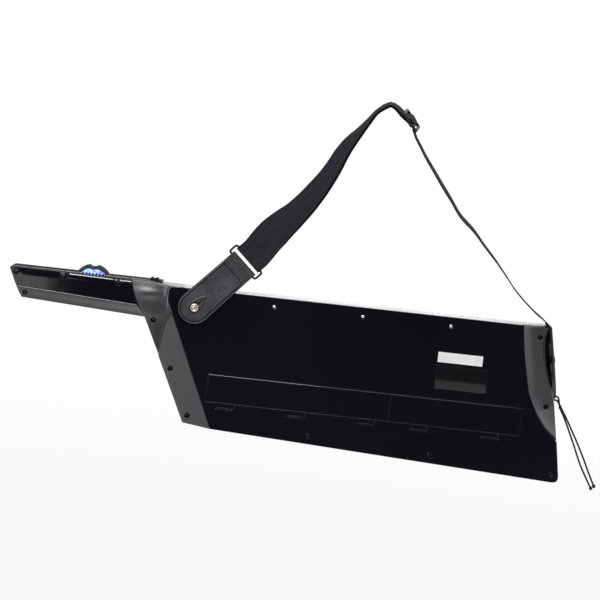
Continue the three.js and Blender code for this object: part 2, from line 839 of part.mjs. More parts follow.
function frontShell() {
  const body = slab(bodyOutline, plateRimY + gap, bodyDepth);
  const cavity = slab(inset(bodyOutline, wall), 0, panelInnerY);
  const keyWell = block(
    [keyLeftX - keyGap, keyRightX + keyGap],
    [slipShelfY, bodyDepth + overrun],
    [keyFootZ - overrun, bodyTopZ + overrun],
  );
  const slipX = [keyLeftX - keyGap - wall, keyRightX + keyGap + wall];
  const slipWall = block(slipX, [slipShelfY - wall, slipWallTopY], [slipWallZ - wall, slipWallZ]);
  const slipShelf = block(slipX, [slipShelfY - wall, slipShelfY], [slipWallZ - wall, bodyTopZ - gap]);
  const cheeks = slipX.map((x, i) =>
    block(
      [x + (i ? -wall : 0), x + (i ? 0 : wall)],
      [slipShelfY - wall, bodyDepth - gap],
      [frameTopZ + gap, bodyTopZ - gap],
    ),
  );
  const windows = padRow.map((x) => {
    const [low, high] = [x - padGap, x + padWidth + padGap];
    const corners = [
      [low, padLowZ - padGap, padCorner],
      [high, padLowZ - padGap, padCorner],
      [high, padHighZ + padGap, padCorner],
      [low, padHighZ + padGap, padCorner],
    ];
    return slab(rounded(corners), panelInnerY - overrun, bodyDepth + overrun);
  });
  const neckRoom = block(
    [-slantRun - collarFlare, neckEndX + gap],
    [partingY, bodyDepth],
    [slantRise - gap, neckTopZ],
  );
  const rooms = [
    neckRoom,
    slab(inset(collarOutline, -gap / 2), -partingY, partingY + gap),
    slab(inset([capFoot, endTop, capTop, ...crescent], -gap / 2), -partingY, partingY + gap),
    block(
      [neckEndX - overrun, neckEndX + wall + overrun],
      [tenonLowY - gap, tenonLowY + tenonDepth + gap],
      [tenonLowZ - gap, tenonLowZ + tenonHeight + gap],
    ),
  ];
  const reach = panelInnerY + wall / 2;
  const lowPosts = lowScrews.map((place) => post(place, wall + screwSeat + gap, reach));
  const collarPosts = collarScrews.map((place) => post(place, partingY + gap, reach));
  const capPosts = capScrews.map((place) => post(place, partingY + gap, reach));
  const boardLegs = boardPosts.map(([x, z]) => peg(x, z, boardFrontY + gap, reach, boardPostRadius));
  const pilots = [
    ...lowScrews.map((place) => pilot(place, wall + screwSeat, panelInnerY / 2)),
    ...[...collarScrews, ...capScrews].map((place) => pilot(place, partingY, panelInnerY / 2 + wall)),
  ];
  const open = cut(body, cavity, keyWell);
  return cut(
    union(open, slipWall, slipShelf, cheeks, lowPosts, collarPosts, capPosts, boardLegs),
    windows,
    rooms,
    pilots,
  );
}

// Back plate: gloss cover with two compartments and the finger recesses below their doors
const doors = [
  { x: [doorLeftX, doorMidX - doorSeam / 2], latchShares: latchLeftShares, lean: 1 },
  { x: [doorMidX + doorSeam / 2, doorRightX], latchShares: latchRightShares, lean: -1 },
];
const latchMiddles = ({ x, latchShares }) => latchShares.map((s) => x[0] + (x[1] - x[0]) * s);

// A latch's outline, with one slanted end, made smaller by the margin
function latchOutline(middle, lean, margin) {
  const half = latchWidth / 2 - margin;
  const low = doorLowZ - latchDrop + margin;
  const high = doorLowZ + doorSeam;
  const foot = half - latchLean;
  return lean > 0
    ? [[middle - half, low], [middle + foot, low], [middle + half, high], [middle - half, high]]
    : [[middle - foot, low], [middle + half, low], [middle + half, high], [middle - half, high]];
}

function rearCover() {
  const plate = slab(inset(plateOutline, gap / 2), 0, plateRimY);
  const tray = slab(inset(plateOutline, wall), wall, plateRimY + overrun);
  const bayOuter = doors.map(({ x }) =>
    block(
      [x[0] - bayWall, x[1] + bayWall],
      [wall / 2, bayFloorY + bayWall],
      [doorLowZ - bayWall, doorHighZ + bayWall],
    ),
  );
  const bayHollow = doors.map(({ x }) =>
    block(
      [x[0] + doorLedge, x[1] - doorLedge],
      [-overrun, bayFloorY],
      [doorLowZ + doorLedge, doorHighZ - doorLedge],
    ),
  );
  const seats = doors.map(({ x }) =>
    block(
      [x[0] - doorSeam, x[1] + doorSeam],
      [-overrun, doorThick + gap],
      [doorLowZ - doorSeam, doorHighZ + doorSeam],
    ),
  );
  const hinges = doors.map(({ x }) =>
    crossPeg(hingeY, hingeZ, x[0] - doorSeam, x[1] + doorSeam, hingeRadius + gap),
  );
  const recessBacks = doors.flatMap((door) =>
    latchMiddles(door).map((m) =>
      slab(inset(latchOutline(m, door.lean, 0), -bayWall), wall / 2, latchRecess + bayWall),
    ),
  );
  const recesses = doors.flatMap((door) =>
    latchMiddles(door).map((m) => slab(latchOutline(m, door.lean, 0), -overrun, latchRecess)),
  );
  const screws = [...topScrews, ...lowScrews];
  const wells = screws.map((place) => screwWell(place, wall / 2, wall + screwSeat));
  const holes = screws.map((place) => screwHole(place, 0, wall + screwSeat));
  const shell = union(cut(plate, tray), bayOuter, recessBacks, wells);
  return cut(shell, bayHollow, seats, hinges, recesses, holes);
}

// A door: a thin cover with finger latches below and a hinge edge above
const hingeY = hingeRadius;
const hingeZ = doorHighZ - hingeRadius;

function door({ x, latchShares, lean }) {
  const cover = block(x, [0, doorThick], [doorLowZ, hingeZ]);
  const edge = crossPeg(hingeY, hingeZ, x[0], x[1], hingeRadius);
  const tongues = latchMiddles({ x, latchShares }).map((m) =>
    slab(latchOutline(m, lean, latchMargin), tongueSink, tongueSink + tongueThick - gap),
  );
  return union(cover, edge, tongues);
}

// Neck: glossy back, matte grip below it, and the front moulding that carries wheel and rocker
const tipAt = (z) => [onLine(neckLeft, neckLow, z), z];
const flareAt = (z) => {
  const line = [...flare, slantTop];
  const i = line.findIndex((p, k) => k < line.length - 1 && line[k + 1][1] <= z);
  return [onLine(line[i], line[i + 1], z), z];
};
const splitRoot = flareAt(splitRootZ);
const splitTip = tipAt(splitTipZ);

const neckBackOutline = [
  splitTip,
  splitRoot,
  ...flare.slice(0, 3).reverse(),
  [...neckLeft, tipRadius],
];
const gripOutline = [neckLow, slantTop, ...flare.slice(3).reverse(), splitRoot, splitTip];

function bearing(lowY, highY, boreLowY, boreHighY) {
  const boss = peg(wheelX, wheelZ, lowY, highY, bearingRadius);
  return [boss, peg(wheelX, wheelZ, boreLowY, boreHighY, axleRadius + gap)];
}

const axleLowY = wheelLowY - bearingGap - bearingBite;
const axleHighY = wheelLowY + wheelWidth + bearingGap + bearingBite;

function neckBack() {
  const outer = slab(rounded(inset(neckBackOutline, gap / 2)), 0, partingY);
  const inner = slab(inset(neckBackOutline, wall), wall, partingY + overrun);
  const [boss, bore] = bearing(
    wall / 2,
    axleLowY + bearingBite,
    axleLowY - gap,
    axleLowY + bearingBite + overrun,
  );
  const wells = neckScrews.map((place) => screwWell(place, wall / 2, partingY));
  const holes = neckScrews.map((place) => screwHole(place, 0, partingY));
  return cut(union(cut(outer, inner), boss, wells), bore, holes);
}

function neckGrip() {
  const backY = (x, z) => {
    const topZ = atPlace(splitTip, splitRoot, x);
    const lowZ = atPlace(neckLow, slantTop, x);
    return (gripSlopeY * (topZ - z)) / (topZ - lowZ);
  };
  const all = gripOutline.map((_, i) => i);
  const outer = wedge(inset(gripOutline, gap / 2), [], [all], backY, partingY);
  const innerY = (x, z) => backY(x, z) + wall;
  const inner = wedge(inset(gripOutline, wall), [], [all], innerY, partingY + overrun);
  const surface = backY(...gripScrew);
  const well = screwWell(gripScrew, surface + wall, partingY);
  return cut(union(cut(outer, inner), well), screwHole(gripScrew, surface, partingY));
}

function neckFront() {
  const outline = [
    [...neckLow, tipRadius],
    slantTop,
    [neckEndX, slantRise],
    [neckEndX, neckTopZ],
    [...neckLeft, tipRadius],
  ];
  const lowY = partingY + gap;
  const shell = cut(
    slab(rounded(outline), lowY, neckDepth),
    slab(inset(outline, wall), 0, neckDepth - wall),
  );
  const tenon = block(
    [neckEndX - wall, neckEndX - wall + tenonLength],
    [tenonLowY, tenonLowY + tenonDepth],
    [tenonLowZ, tenonLowZ + tenonHeight],
  );
  const duct = block(
    [neckEndX - wall - overrun, neckEndX + tenonLength],
    [tenonLowY + wall, tenonLowY + tenonDepth - wall],
    [tenonLowZ + wall, tenonLowZ + tenonHeight - wall],
  );
  const slot = block(
    [wheelX - wheelRadius, wheelX + wheelRadius],
    [0, wheelLowY + wheelWidth + tyreSide + wheelSlotGap],
    [neckTopZ - wall - overrun, neckTopZ + overrun],
  );
  const [boss, bore] = bearing(
    axleHighY - bearingBite,
    neckDepth - wall / 2,
    axleHighY - bearingBite - overrun,
    axleHighY + gap,
  );
  const rockerHole = block(
    [rockerX - rockerLength / 2 - rockerRoom, rockerX + rockerLength / 2 + rockerRoom],
    [rockerY - rockerWidth / 2 - gap, rockerY + rockerWidth / 2 + gap],
    [neckTopZ - wall - overrun, neckTopZ + overrun],
  );
  const ears = [-1, 1].map((side) => {
    const inner = rockerY + side * (rockerWidth / 2 + gap);
    const outer = inner + side * earThick;
    return block(
      [rockerX - earRadius, rockerX + earRadius],
      [Math.min(inner, outer), Math.max(inner, outer)],
      [rockerPivotZ - earRadius, neckTopZ - wall / 2],
    );
  });
  const earHole = peg(
    rockerX,
    rockerPivotZ,
    rockerY - rockerWidth,
    rockerY + rockerWidth,
    rockerPinRadius + gap,
  );
  const screws = [...neckScrews, gripScrew];
  const posts = screws.map((place) => post(place, lowY, neckDepth - wall / 2));
  const pilots = screws.map((place) => pilot(place, lowY, neckDepth / 2));
  return cut(union(shell, tenon, boss, ears, posts), duct, slot, bore, rockerHole, earHole, pilots);
}

// Bend wheel: a clear blue disc with stub axles, inside a rubber tyre with a thumb dip
function wheelDisc() {
  const discRadius = wheelRadius - tyreThick - gap / 2;
  const disc = peg(wheelX, wheelZ, wheelLowY, wheelLowY + wheelWidth, discRadius, wheelSides);
  const axle = peg(wheelX, wheelZ, axleLowY, axleHighY, axleRadius);
  return union(disc, axle);
}

function wheelTyre() {
  const lowY = wheelLowY - tyreSide;
  const highY = wheelLowY + wheelWidth + tyreSide;
  const outer = peg(wheelX, wheelZ, lowY, highY, wheelRadius, wheelSides);
  const hole = peg(
    wheelX,
    wheelZ,
    lowY - overrun,
    highY + overrun,
    wheelRadius - tyreThick + gap / 2,
    wheelSides,
  );
  const dip = peg(
    wheelX,
    wheelZ + wheelRadius - dipDepth + dipRadius,
    lowY - overrun,
    highY + overrun,
    dipRadius,
    wheelSides,
  );
  return cut(outer, hole, dip);
}

// Rocker: two bumps with a dip between them, on pins in the neck's ears
const rockerPivotZ = neckTopZ - rockerPivotDrop;

function rocker() {
  const half = rockerLength / 2;
  const top = neckTopZ + rockerProud;
  const foot = rockerPivotZ - rockerPinRadius * 2;
  const profile = rounded([
    [rockerX - half + rockerDip, foot],
    [rockerX + half - rockerDip, foot],
    [rockerX + half, neckTopZ - wall],
    [rockerX + half, top, rockerDip],
    [rockerX + half / 2, top, rockerDip],
    [rockerX, top - rockerDip],
    [rockerX - half / 2, top, rockerDip],
    [rockerX - half, top, rockerDip],
    [rockerX - half, neckTopZ - wall],
  ]);
  const body = slab(profile, rockerY - rockerWidth / 2, rockerY + rockerWidth / 2);
  const reach = rockerWidth / 2 + rockerPinLength;
  return union(body, peg(rockerX, rockerPivotZ, rockerY - reach, rockerY + reach, rockerPinRadius));
}

// Key frame: a long stepped plate with the pivot ridge, the guide rail and three screw posts
function keyFrame() {
  const stepTop = frameStepZ + framePlate;
  const profile = [
    [frameHighY, frameFootZ],
    [frameHighY + framePlate, frameFootZ],
    [frameHighY + framePlate, framePivotZ - framePivotWidth / 2],
    [pivotY - gap, framePivotZ - framePivotWidth / 4],
    [pivotY - gap, framePivotZ + framePivotWidth / 4],
    [frameHighY + framePlate, framePivotZ + framePivotWidth / 2],
    [frameHighY + framePlate, stepTop],
    [frameLowY + framePlate, stepTop],
    [frameLowY + framePlate, frameRailZ],
    [frameRailTopY, frameRailZ],
    [frameRailTopY, frameRailZ + frameRail],
    [frameLowY + framePlate, frameRailZ + frameRail],
    [frameLowY + framePlate, frameTopZ],
    [frameLowY, frameTopZ],
    [frameLowY, frameStepZ],
    [frameHighY, frameStepZ],
  ];
  const plate = bar(profile, keyLeftX - frameSide, keyRightX + frameSide);
  const posts = topScrews.map((place) => post(place, wall + screwSeat + gap, frameLowY + wall / 2));
  const pilots = topScrews.map((place) => pilot(place, wall + screwSeat, frameLowY));
  return cut(union(plate, posts), pilots);
}

// Keys: every key turns on the frame's ridge, behind the edge of the front panel
const pivotY = keyTailLowY;
const keyPlateY = keyTopY - keyPlate;
const tailZ = [keyFootZ - keyTailLength, keyFootZ + keyTailOverlap];
const octaveWidth = whitePitch * whitesPerOctave;
const blackMiddles = Array.from({ length: octaves }, (_, i) =>
  blackCentreShares.map((share) => keyLeftX + octaveWidth * i + whitePitch * share),
).flat();

function whiteKey(index) {
  const x = [
    keyLeftX + whitePitch * index + keyGap / 2,
    keyLeftX + whitePitch * (index + 1) - keyGap / 2,
  ];
  const lipY = keyTopY - keyLipDrop;
  const profile = [
    [keyTailLowY, tailZ[0]],
    [keyTailLowY + keyTailThick, tailZ[0]],
    [keyTailLowY + keyTailThick, keyFootZ],
    [keyTopY, keyFootZ],
    [keyTopY, keyLipZ],
    [lipY, keyLipZ],
    [lipY, keyLipZ - keyLipThick],
    [keyPlateY, keyLipZ - keyLipThick],
    [keyPlateY, tailZ[1]],
    [keyTailLowY, tailZ[1]],
  ];
  const notches = blackMiddles
    .filter((m) => m + blackBase > x[0] && m - blackBase < x[1])
    .map((m) =>
      block(
        [m - blackBase / 2 - keyGap, m + blackBase / 2 + keyGap],
        [0, keyTopY + overrun],
        [0, keyFootZ + blackLength + keyGap],
      ),
    );
  return cut(bar(profile, ...x), notches);
}

function blackKey(middle) {
  const x = [middle - blackBase / 2, middle + blackBase / 2];
  const topY = keyTopY + blackRise;
  const tail = block(x, [keyTailLowY, keyTailLowY + keyTailThick], tailZ);
  const lowZ = [keyFootZ, keyFootZ + blackLength];
  const highZ = [keyFootZ + blackHeel, keyFootZ + blackLength - blackSlope];
  const highX = [middle - blackTop / 2, middle + blackTop / 2];
  const corners = [
    [x[0], keyPlateY, lowZ[0]],
    [x[1], keyPlateY, lowZ[0]],
    [x[1], keyPlateY, lowZ[1]],
    [x[0], keyPlateY, lowZ[1]],
    [highX[0], topY, highZ[0]],
    [highX[1], topY, highZ[0]],
    [highX[1], topY, highZ[1]],
    [highX[0], topY, highZ[1]],
  ];
  const geometry = new THREE.BufferGeometry();
  geometry.setAttribute("position", new THREE.Float32BufferAttribute(corners.flat(), 3));
  geometry.setIndex(boxFaces);
  return union(toSolid(geometry), tail);
}

// Pad mat: one silicone sheet with eight raised pads, and the board behind it
function padMat() {
  const sheet = block(matX, [matBackY, matBackY + matThick], matZ);
  const pads = padRow.map((x) => {
    const corners = [
      [x, padLowZ, padCorner],
      [x + padWidth, padLowZ, padCorner],
      [x + padWidth, padHighZ, padCorner],
      [x, padHighZ, padCorner],
    ];
    return slab(rounded(corners), matBackY + matThick / 2, bodyDepth + padProud);
  });
  return union(sheet, pads);
}

function mainBoard() {
  return cut(
    block(boardX, [boardBackY, boardFrontY], matZ),
    boardPosts.map(([x, z]) => peg(x, z, boardBackY - overrun, boardFrontY + overrun, pilotRadius)),
  );
}

// Strap buttons: a flange, a post and a head, turned about their own axis
function strapButton(baseThick, postLength) {
  const profile = [
    [0, 0],
    [buttonBaseRadius, 0],
    [buttonBaseRadius, baseThick],
    [buttonPostRadius, baseThick],
    [buttonPostRadius, postLength],
    [buttonHeadRadius, postLength],
    [buttonHeadRadius, postLength + buttonHeadThick / 2],
    [buttonHeadRadius - buttonHeadThick / 2, postLength + buttonHeadThick],
    [0, postLength + buttonHeadThick],
  ].map(([r, h]) => new THREE.Vector2(r, h));
  return new THREE.LatheGeometry(profile, buttonSides);
}

function leftButton() {
  const geometry = strapButton(buttonBaseThick, leftPostLength);
  geometry.rotateX(Math.PI);
  geometry.translate(leftButtonX, -gap, leftButtonZ);
  return toSolid(geometry);
}

// The end face's own frame: across the body, out of the face, and up along it
const [buttonX, buttonZ] = alongEnd(rightButtonShare);
const endFrame = new THREE.Matrix4()
  .makeBasis(new THREE.Vector3(0, -1, 0), endOut, endDown.clone().negate())
  .setPosition(buttonX, strapTopY, buttonZ);

function rightButton() {
  const geometry = strapButton(rightBaseThick, rightPostLength);
  geometry.translate(0, gap, 0);
  geometry.applyMatrix4(endFrame);
  return toSolid(geometry);
}

// A leather tab's outline: a round end about the button, and straight sides to the far end
function tabOutline(radius, below, above, farWidth) {
  const arc = new THREE.EllipseCurve(0, 0, radius, below, Math.PI, Math.PI * 2);
  const round = arc.getPoints(leatherEndSteps).map((p) => [p.x, p.y]);
  return [...round, [farWidth / 2, above], [-farWidth / 2, above]];
}

function keyhole() {
  const arc = new THREE.EllipseCurve(0, 0, leatherHole, leatherHole, slitHalf, Math.PI * 2 + slitStart);
  const round = arc.getPoints(holeSides).map((p) => [p.x, p.y]);
  return [...round, [-slitWidth / 2, slitLength], [slitWidth / 2, slitLength]];
}
const slitHalf = Math.PI / 2 + Math.asin(slitWidth / 2 / leatherHole);
const slitStart = Math.PI / 2 - Math.asin(slitWidth / 2 / leatherHole);

// The left tab's frame: X across it, Y out of the back, Z from the button to the ring
const tabTurn = THREE.MathUtils.degToRad(leatherAngle - 90);
const tabUp = new THREE.Vector3(-Math.sin(tabTurn), 0, Math.cos(tabTurn));
const tabAcross = new THREE.Vector3(Math.cos(tabTurn), 0, Math.sin(tabTurn));
const ringMiddleY = leftLeatherY - leatherThick / 2;
const leftFrame = new THREE.Matrix4()
  .makeBasis(tabAcross, new THREE.Vector3(0, 1, 0), tabUp)
  .setPosition(leftButtonX, 0, leftButtonZ);
const placed = (solid, frame) => toSolid(toGeometry(solid).applyMatrix4(frame));

function leftTab() {
  const lowBar = leatherLength;
  const foldInner = ringBar * Math.SQRT1_2 + gap;
  const foldOuter = foldInner + leatherThick;
  const flat = slab(
    tabOutline(leatherEndRadius, leatherEndRadius, lowBar, leatherRingWidth),
    leftLeatherY - leatherThick,
    leftLeatherY,
    [keyhole()],
  );
  const half = leatherRingWidth / 2;
  const loop = crossPeg(ringMiddleY, lowBar, -half, half, foldOuter, holeSides * 2);
  const flap = block(
    [-half, half],
    [leftLeatherY - leatherThick / 2, leftLeatherY + flapStand],
    [lowBar - foldLength, lowBar],
  );
  const bore = crossPeg(ringMiddleY, lowBar, -leatherLength, leatherLength, foldInner, holeSides);
  return placed(cut(union(flat, flap, loop), bore), leftFrame);
}

// Ring: a flat rounded oblong with two long bars
const ringPitch = ringOpening + ringBar;

function ring() {
  const half = [ringLength / 2, ringPitch / 2 + ringBar / 2];
  const outline = (margin, radius) =>
    rounded([
      [-half[0] + margin, -half[1] + margin, radius],
      [half[0] - margin, -half[1] + margin, radius],
      [half[0] - margin, half[1] - margin, radius],
      [-half[0] + margin, half[1] - margin, radius],
    ]);
  const solid = slab(outline(0, ringCorner), -ringBar / 2, ringBar / 2, [
    outline(ringBar, ringCorner / 2).reverse(),
  ]);
  const seat = new THREE.Matrix4().makeTranslation(0, ringMiddleY, leatherLength + ringPitch / 2);
  return placed(solid, leftFrame.clone().multiply(seat));
}

// Webbing: sewn to the slider, down to the ring, back up, through the slider and on to the right tab
const strapTop = new THREE.Vector3(strapTopX, strapTopY, strapTopZ);
const ringTop = new THREE.Vector3(0, ringMiddleY, leatherLength + ringPitch).applyMatrix4(leftFrame);
const atEnd = (across, out, up) => new THREE.Vector3(across, out, up).applyMatrix4(endFrame);
const webOut = rightLeatherStand - gap - webThick / 2;
const webRadius = ringBar * Math.SQRT1_2 + gap + webThick / 2;
const webEnd = atEnd(0, webOut, rightTabAbove - webEndLap);
const webMiddle = atEnd(0, webOut, rightTabAbove - webEndLap / 2);
const webBend = atEnd(0, webOut, rightTabAbove - webEndLap / 4);
const tabMouth = atEnd(0, webOut - webThick / 2, rightTabAbove + webThick);

const webCurve = new THREE.CatmullRomCurve3(
  [
    ringTop,
    ringTop.clone().addScaledVector(tabUp, webStraight),
    ...leftRouteShares.map(
      ([across, up]) =>
        new THREE.Vector3(
          ringTop.x + (strapTopX - ringTop.x) * across,
          ringTop.y + (strapTopY - ringTop.y) * across,
          ringTop.z + (strapTopZ - ringTop.z) * up,
        ),
    ),
    strapTop,
    ...rightRouteShares.map(
      ([across, down]) =>
        new THREE.Vector3(
          strapTopX + (tabMouth.x - strapTopX) * across,
          strapTopY,
          strapTopZ + (tabMouth.z - strapTopZ) * down,
        ),
    ),
    tabMouth,
    webBend,
    webMiddle,
    webEnd,
  ],
  false,
  "centripetal",
);
const webLength = webCurve.getLength();
const routePoints = webCurve.getSpacedPoints(routeSamples);
const sliderX = strapTopX + (endTopX - strapTopX) * sliderShare;
const sliderPlace = (webLength * routePoints.findIndex((p) => p.x > sliderX)) / routeSamples;

// A value from a table of places and values
function tableValue(rows, place) {
  const next = rows.findIndex(([mark]) => mark >= place);
  if (next === 0) return rows[0][1];
  if (next < 0) return rows.at(-1)[1];
  const [[lowPlace, low], [highPlace, high]] = rows.slice(next - 1, next + 1);
  return low + ((high - low) * (place - lowPlace)) / (highPlace - lowPlace);
}

// How far the webbing has turned about its own length: flat at the ring, nearly on edge from the top on
function webTurn(point) {
  const up = (point.z - ringTop.z) / (strapTopZ - ringTop.z);
  const along = (point.x - strapTopX) / (tabMouth.x - strapTopX);
  const share = along < 0 ? tableValue(turnShares, up) : tableValue(rightTurnShares, along);
  return (Math.PI / 2) * share;
}

// The webbing's frame at a distance from the ring, its middle shifted along the normal
function webStation(distance, shift) {
  const share = THREE.MathUtils.clamp(distance / webLength, 0, 1);
  const middle = webCurve.getPointAt(share);
  const forward = webCurve.getTangentAt(share);
  const level = new THREE.Vector3(forward.z, 0, -forward.x).normalize();
  const side = forward.clone().cross(level);
  const turn = webTurn(middle);
  const across = level.multiplyScalar(Math.cos(turn)).addScaledVector(side, -Math.sin(turn));
  const normal = forward.clone().cross(across);
  middle.addScaledVector(normal, shift);
  return { middle, across, normal, forward };
}

const sliderShift = -webLayers - webThick / 2 - gap - sliderThick / 2;
const slotSpan = sliderLength / 2 - sliderRim - sliderBar / 2;
const smooth = THREE.MathUtils.smoothstep;

// Shift of the layer that runs through the slider, and of the layer that is sewn below its middle bar
function runningShift(distance) {
  const away = Math.abs(distance - sliderPlace);
  const atRing = (webRadius - webLayers) * (1 - smooth(distance, 0, webEase));
  const past = webLayers * smooth(distance - sliderPlace, sliderLength, sliderLength * 2);
  const over = sliderThick + webThick + gap * 2;
  const rise = 1 - smooth(away, sliderBar / 2 + overrun, sliderBar / 2 + slotSpan - overrun);
  return past - webLayers - atRing - over * rise;
}

function sewnShift(distance) {
  const atRing = (webRadius - webLayers) * (1 - smooth(distance, 0, webEase));
  const rise = smooth(distance - sliderPlace, -sliderLength / 2, -sliderBar / 2);
  return webLayers + atRing - 2 * webLayers * rise;
}

// Distances along the webbing, closer together at its tight bends
function webPlaces(from, to) {
  const places = [from];
  while (places.at(-1) < to) {
    const last = places.at(-1);
    const nearSlider = Math.abs(last - sliderPlace) < sliderLength / 2 + webStep;
    const nearEnd = last < webEase || last > webLength - rightTabAbove;
    const step = nearSlider ? webStep / 6 : nearEnd ? webStep / 3 : webStep;
    places.push(Math.min(last + step, to));
  }
  return places;
}

function webbing() {
  const sewn = webPlaces(0, sliderPlace + sliderSewn / 2)
    .reverse()
    .map((distance) => {
      const station = webStation(distance, sewnShift(distance));
      return { ...station, normal: station.normal.negate() };
    });
  const { across, normal, forward } = webStation(0, 0);
  const turn = Array.from({ length: turnSteps - 1 }, (_, i) => {
    const angle = (Math.PI * (i + 1)) / turnSteps;
    const outward = normal.clone().multiplyScalar(Math.cos(angle));
    outward.addScaledVector(forward, -Math.sin(angle));
    const middle = ringTop.clone().addScaledVector(outward, webRadius);
    return { middle, across, normal: outward.negate() };
  });
  const running = webPlaces(0, webLength).map((distance) =>
    webStation(distance, runningShift(distance)),
  );
  return band([...sewn, ...turn, ...running], webWidth, webThick);
}

// Slider: a flat plate with two slots
function slider() {
  const half = [sliderWidth / 2, sliderLength / 2];
  const outline = rounded([
    [-half[0], -half[1], sliderRim],
    [half[0], -half[1], sliderRim],
    [half[0], half[1], sliderRim],
    [-half[0], half[1], sliderRim],
  ]);
  const wide = half[0] - sliderRim;
  const slots = [-1, 1].map((side) => {
    const near = (side * sliderBar) / 2;
    const far = near + side * slotSpan;
    return block(
      [-wide, wide],
      [-sliderThick, sliderThick],
      [Math.min(near, far), Math.max(near, far)],
    );
  });
  const plate = cut(slab(outline, -sliderThick / 2, sliderThick / 2), slots);
  const { middle, across, normal, forward } = webStation(sliderPlace, sliderShift);
  const frame = new THREE.Matrix4().makeBasis(across, normal, forward).setPosition(middle);
  return placed(plate, frame);
}

function rightTab() {
  const outline = tabOutline(rightTabWidth / 2, rightTabBelow, rightTabAbove, rightTabWidth);
  const holeMiddle = laceHoleInset - rightTabBelow;
  const circle = new THREE.EllipseCurve(0, holeMiddle, laceHoleRadius, laceHoleRadius);
  const hole = circle
    .getPoints(holeSides)
    .slice(1)
    .map((p) => [p.x, p.y]);
  const highY = rightLeatherStand + leatherThick;
  return placed(slab(outline, rightLeatherStand, highY, [keyhole(), hole]), endFrame);
}

// Lace: a round cord through the tab's hole and round its tip, with a knot at either end
function lace() {
  const route = laceRoute.map((point) => new THREE.Vector3(...point));
  const path = new THREE.CatmullRomCurve3(route, false, "centripetal");
  path.getUtoTmapping = (share) => share;
  const steps = (route.length - 1) * laceStepsEach;
  const around = new THREE.EllipseCurve(0, 0, laceRadius, laceRadius).getPoints(laceSides);
  const section = new THREE.Shape(around.slice(1));
  const tube = toSolid(new THREE.ExtrudeGeometry(section, { steps, extrudePath: path }));
  const knots = [route[0], route.at(-1)].map((place) => {
    const geometry = new THREE.SphereGeometry(knotRadius, laceSides, laceSides / 2 + 1);
    geometry.translate(...place.toArray());
    return toSolid(geometry);
  });
  return union(tube, knots);
}

addNode("front_shell", frontShell(), "white");
addNode("rear_cover", rearCover(), "gloss");
addNode("collar", collar(), "matte");
addNode("end_cap", endCap(), "grey");
addNode("neck_front", neckFront(), "dark");
addNode("neck_back", neckBack(), "gloss");
addNode("neck_grip", neckGrip(), "matte");
addNode("door_left", door(doors[0]), "gloss");
addNode("door_right", door(doors[1]), "gloss");
addNode("wheel_disc", wheelDisc(), "blue");
addNode("wheel_tyre", wheelTyre(), "rubber");
addNode("neck_rocker", rocker(), "dark");
addNode("key_frame", keyFrame(), "steel");
addNode("pad_mat", padMat(), "rubber");
addNode("main_board", mainBoard(), "board");
addNode("strap_button_left", leftButton(), "steel");
addNode("strap_button_right", rightButton(), "steel");
addNode("strap_tab_left", leftTab(), "leather");
addNode("strap_ring", ring(), "dark");
addNode("strap_webbing", webbing(), "webbing");
addNode("strap_slider", slider(), "dark");
addNode("strap_tab_right", rightTab(), "leather");
addNode("strap_lace", lace(), "leather");

// Keys are numbered from the neck, in the order of their notes
const keys = [
  ...Array.from({ length: whiteCount }, (_, i) => ({
    middle: keyLeftX + whitePitch * (i + 1 / 2),
    kind: "white",
    solid: whiteKey(i),
  })),
  ...blackMiddles.map((middle) => ({ middle, kind: "black", solid: blackKey(middle) })),
].sort((a, b) => a.middle - b.middle);
keys.forEach(({ kind, solid }, i) => {
  const number = String(i + 1).padStart(2, "0");
  addNode(`key_${number}_${kind}`, solid, kind === "white" ? "white" : "dark");
});

export default part;
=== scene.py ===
import json
import math
import bmesh
import bpy
from bisect import bisect_right
from mathutils import Matrix, Vector
from mathutils.geometry import delaunay_2d_cdt

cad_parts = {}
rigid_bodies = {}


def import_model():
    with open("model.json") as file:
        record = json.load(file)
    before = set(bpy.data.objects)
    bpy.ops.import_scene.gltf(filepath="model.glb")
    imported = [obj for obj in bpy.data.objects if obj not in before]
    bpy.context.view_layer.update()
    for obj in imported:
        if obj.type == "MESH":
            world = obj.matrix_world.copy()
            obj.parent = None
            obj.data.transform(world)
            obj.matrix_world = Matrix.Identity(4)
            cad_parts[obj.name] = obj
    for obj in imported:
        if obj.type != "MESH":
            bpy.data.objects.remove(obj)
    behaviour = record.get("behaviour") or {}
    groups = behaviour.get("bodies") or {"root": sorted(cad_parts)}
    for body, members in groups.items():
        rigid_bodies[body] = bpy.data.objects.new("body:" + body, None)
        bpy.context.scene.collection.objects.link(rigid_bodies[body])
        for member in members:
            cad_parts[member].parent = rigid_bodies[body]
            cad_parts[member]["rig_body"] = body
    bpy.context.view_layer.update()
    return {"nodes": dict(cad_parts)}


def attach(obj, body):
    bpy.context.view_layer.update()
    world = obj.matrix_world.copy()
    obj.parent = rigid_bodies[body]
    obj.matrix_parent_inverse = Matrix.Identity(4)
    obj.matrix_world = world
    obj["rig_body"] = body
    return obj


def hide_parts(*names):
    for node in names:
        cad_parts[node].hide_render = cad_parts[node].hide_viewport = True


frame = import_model()
strapTop = Vector((267, 22, 527.7))  # millimetres from the heel of the casing; the frame's origin
print("frame loaded:", len(frame["nodes"]), "pieces")


# A place given in millimetres from the heel, in the frame's metres
def at(x, y, z):
    return (Vector((x, y, z)) - strapTop) / 1000


def addObject(name, data):
    made = bpy.data.objects.new(name, data)
    bpy.context.scene.collection.objects.link(made)
    return made


# Camera: a long lens a little above the instrument, tipped so that the body slopes down to the right
camera = {"lens": 108.6, "place": (162.9, -2787.1, 555.9), "down": 7.0, "roll": 6.3}


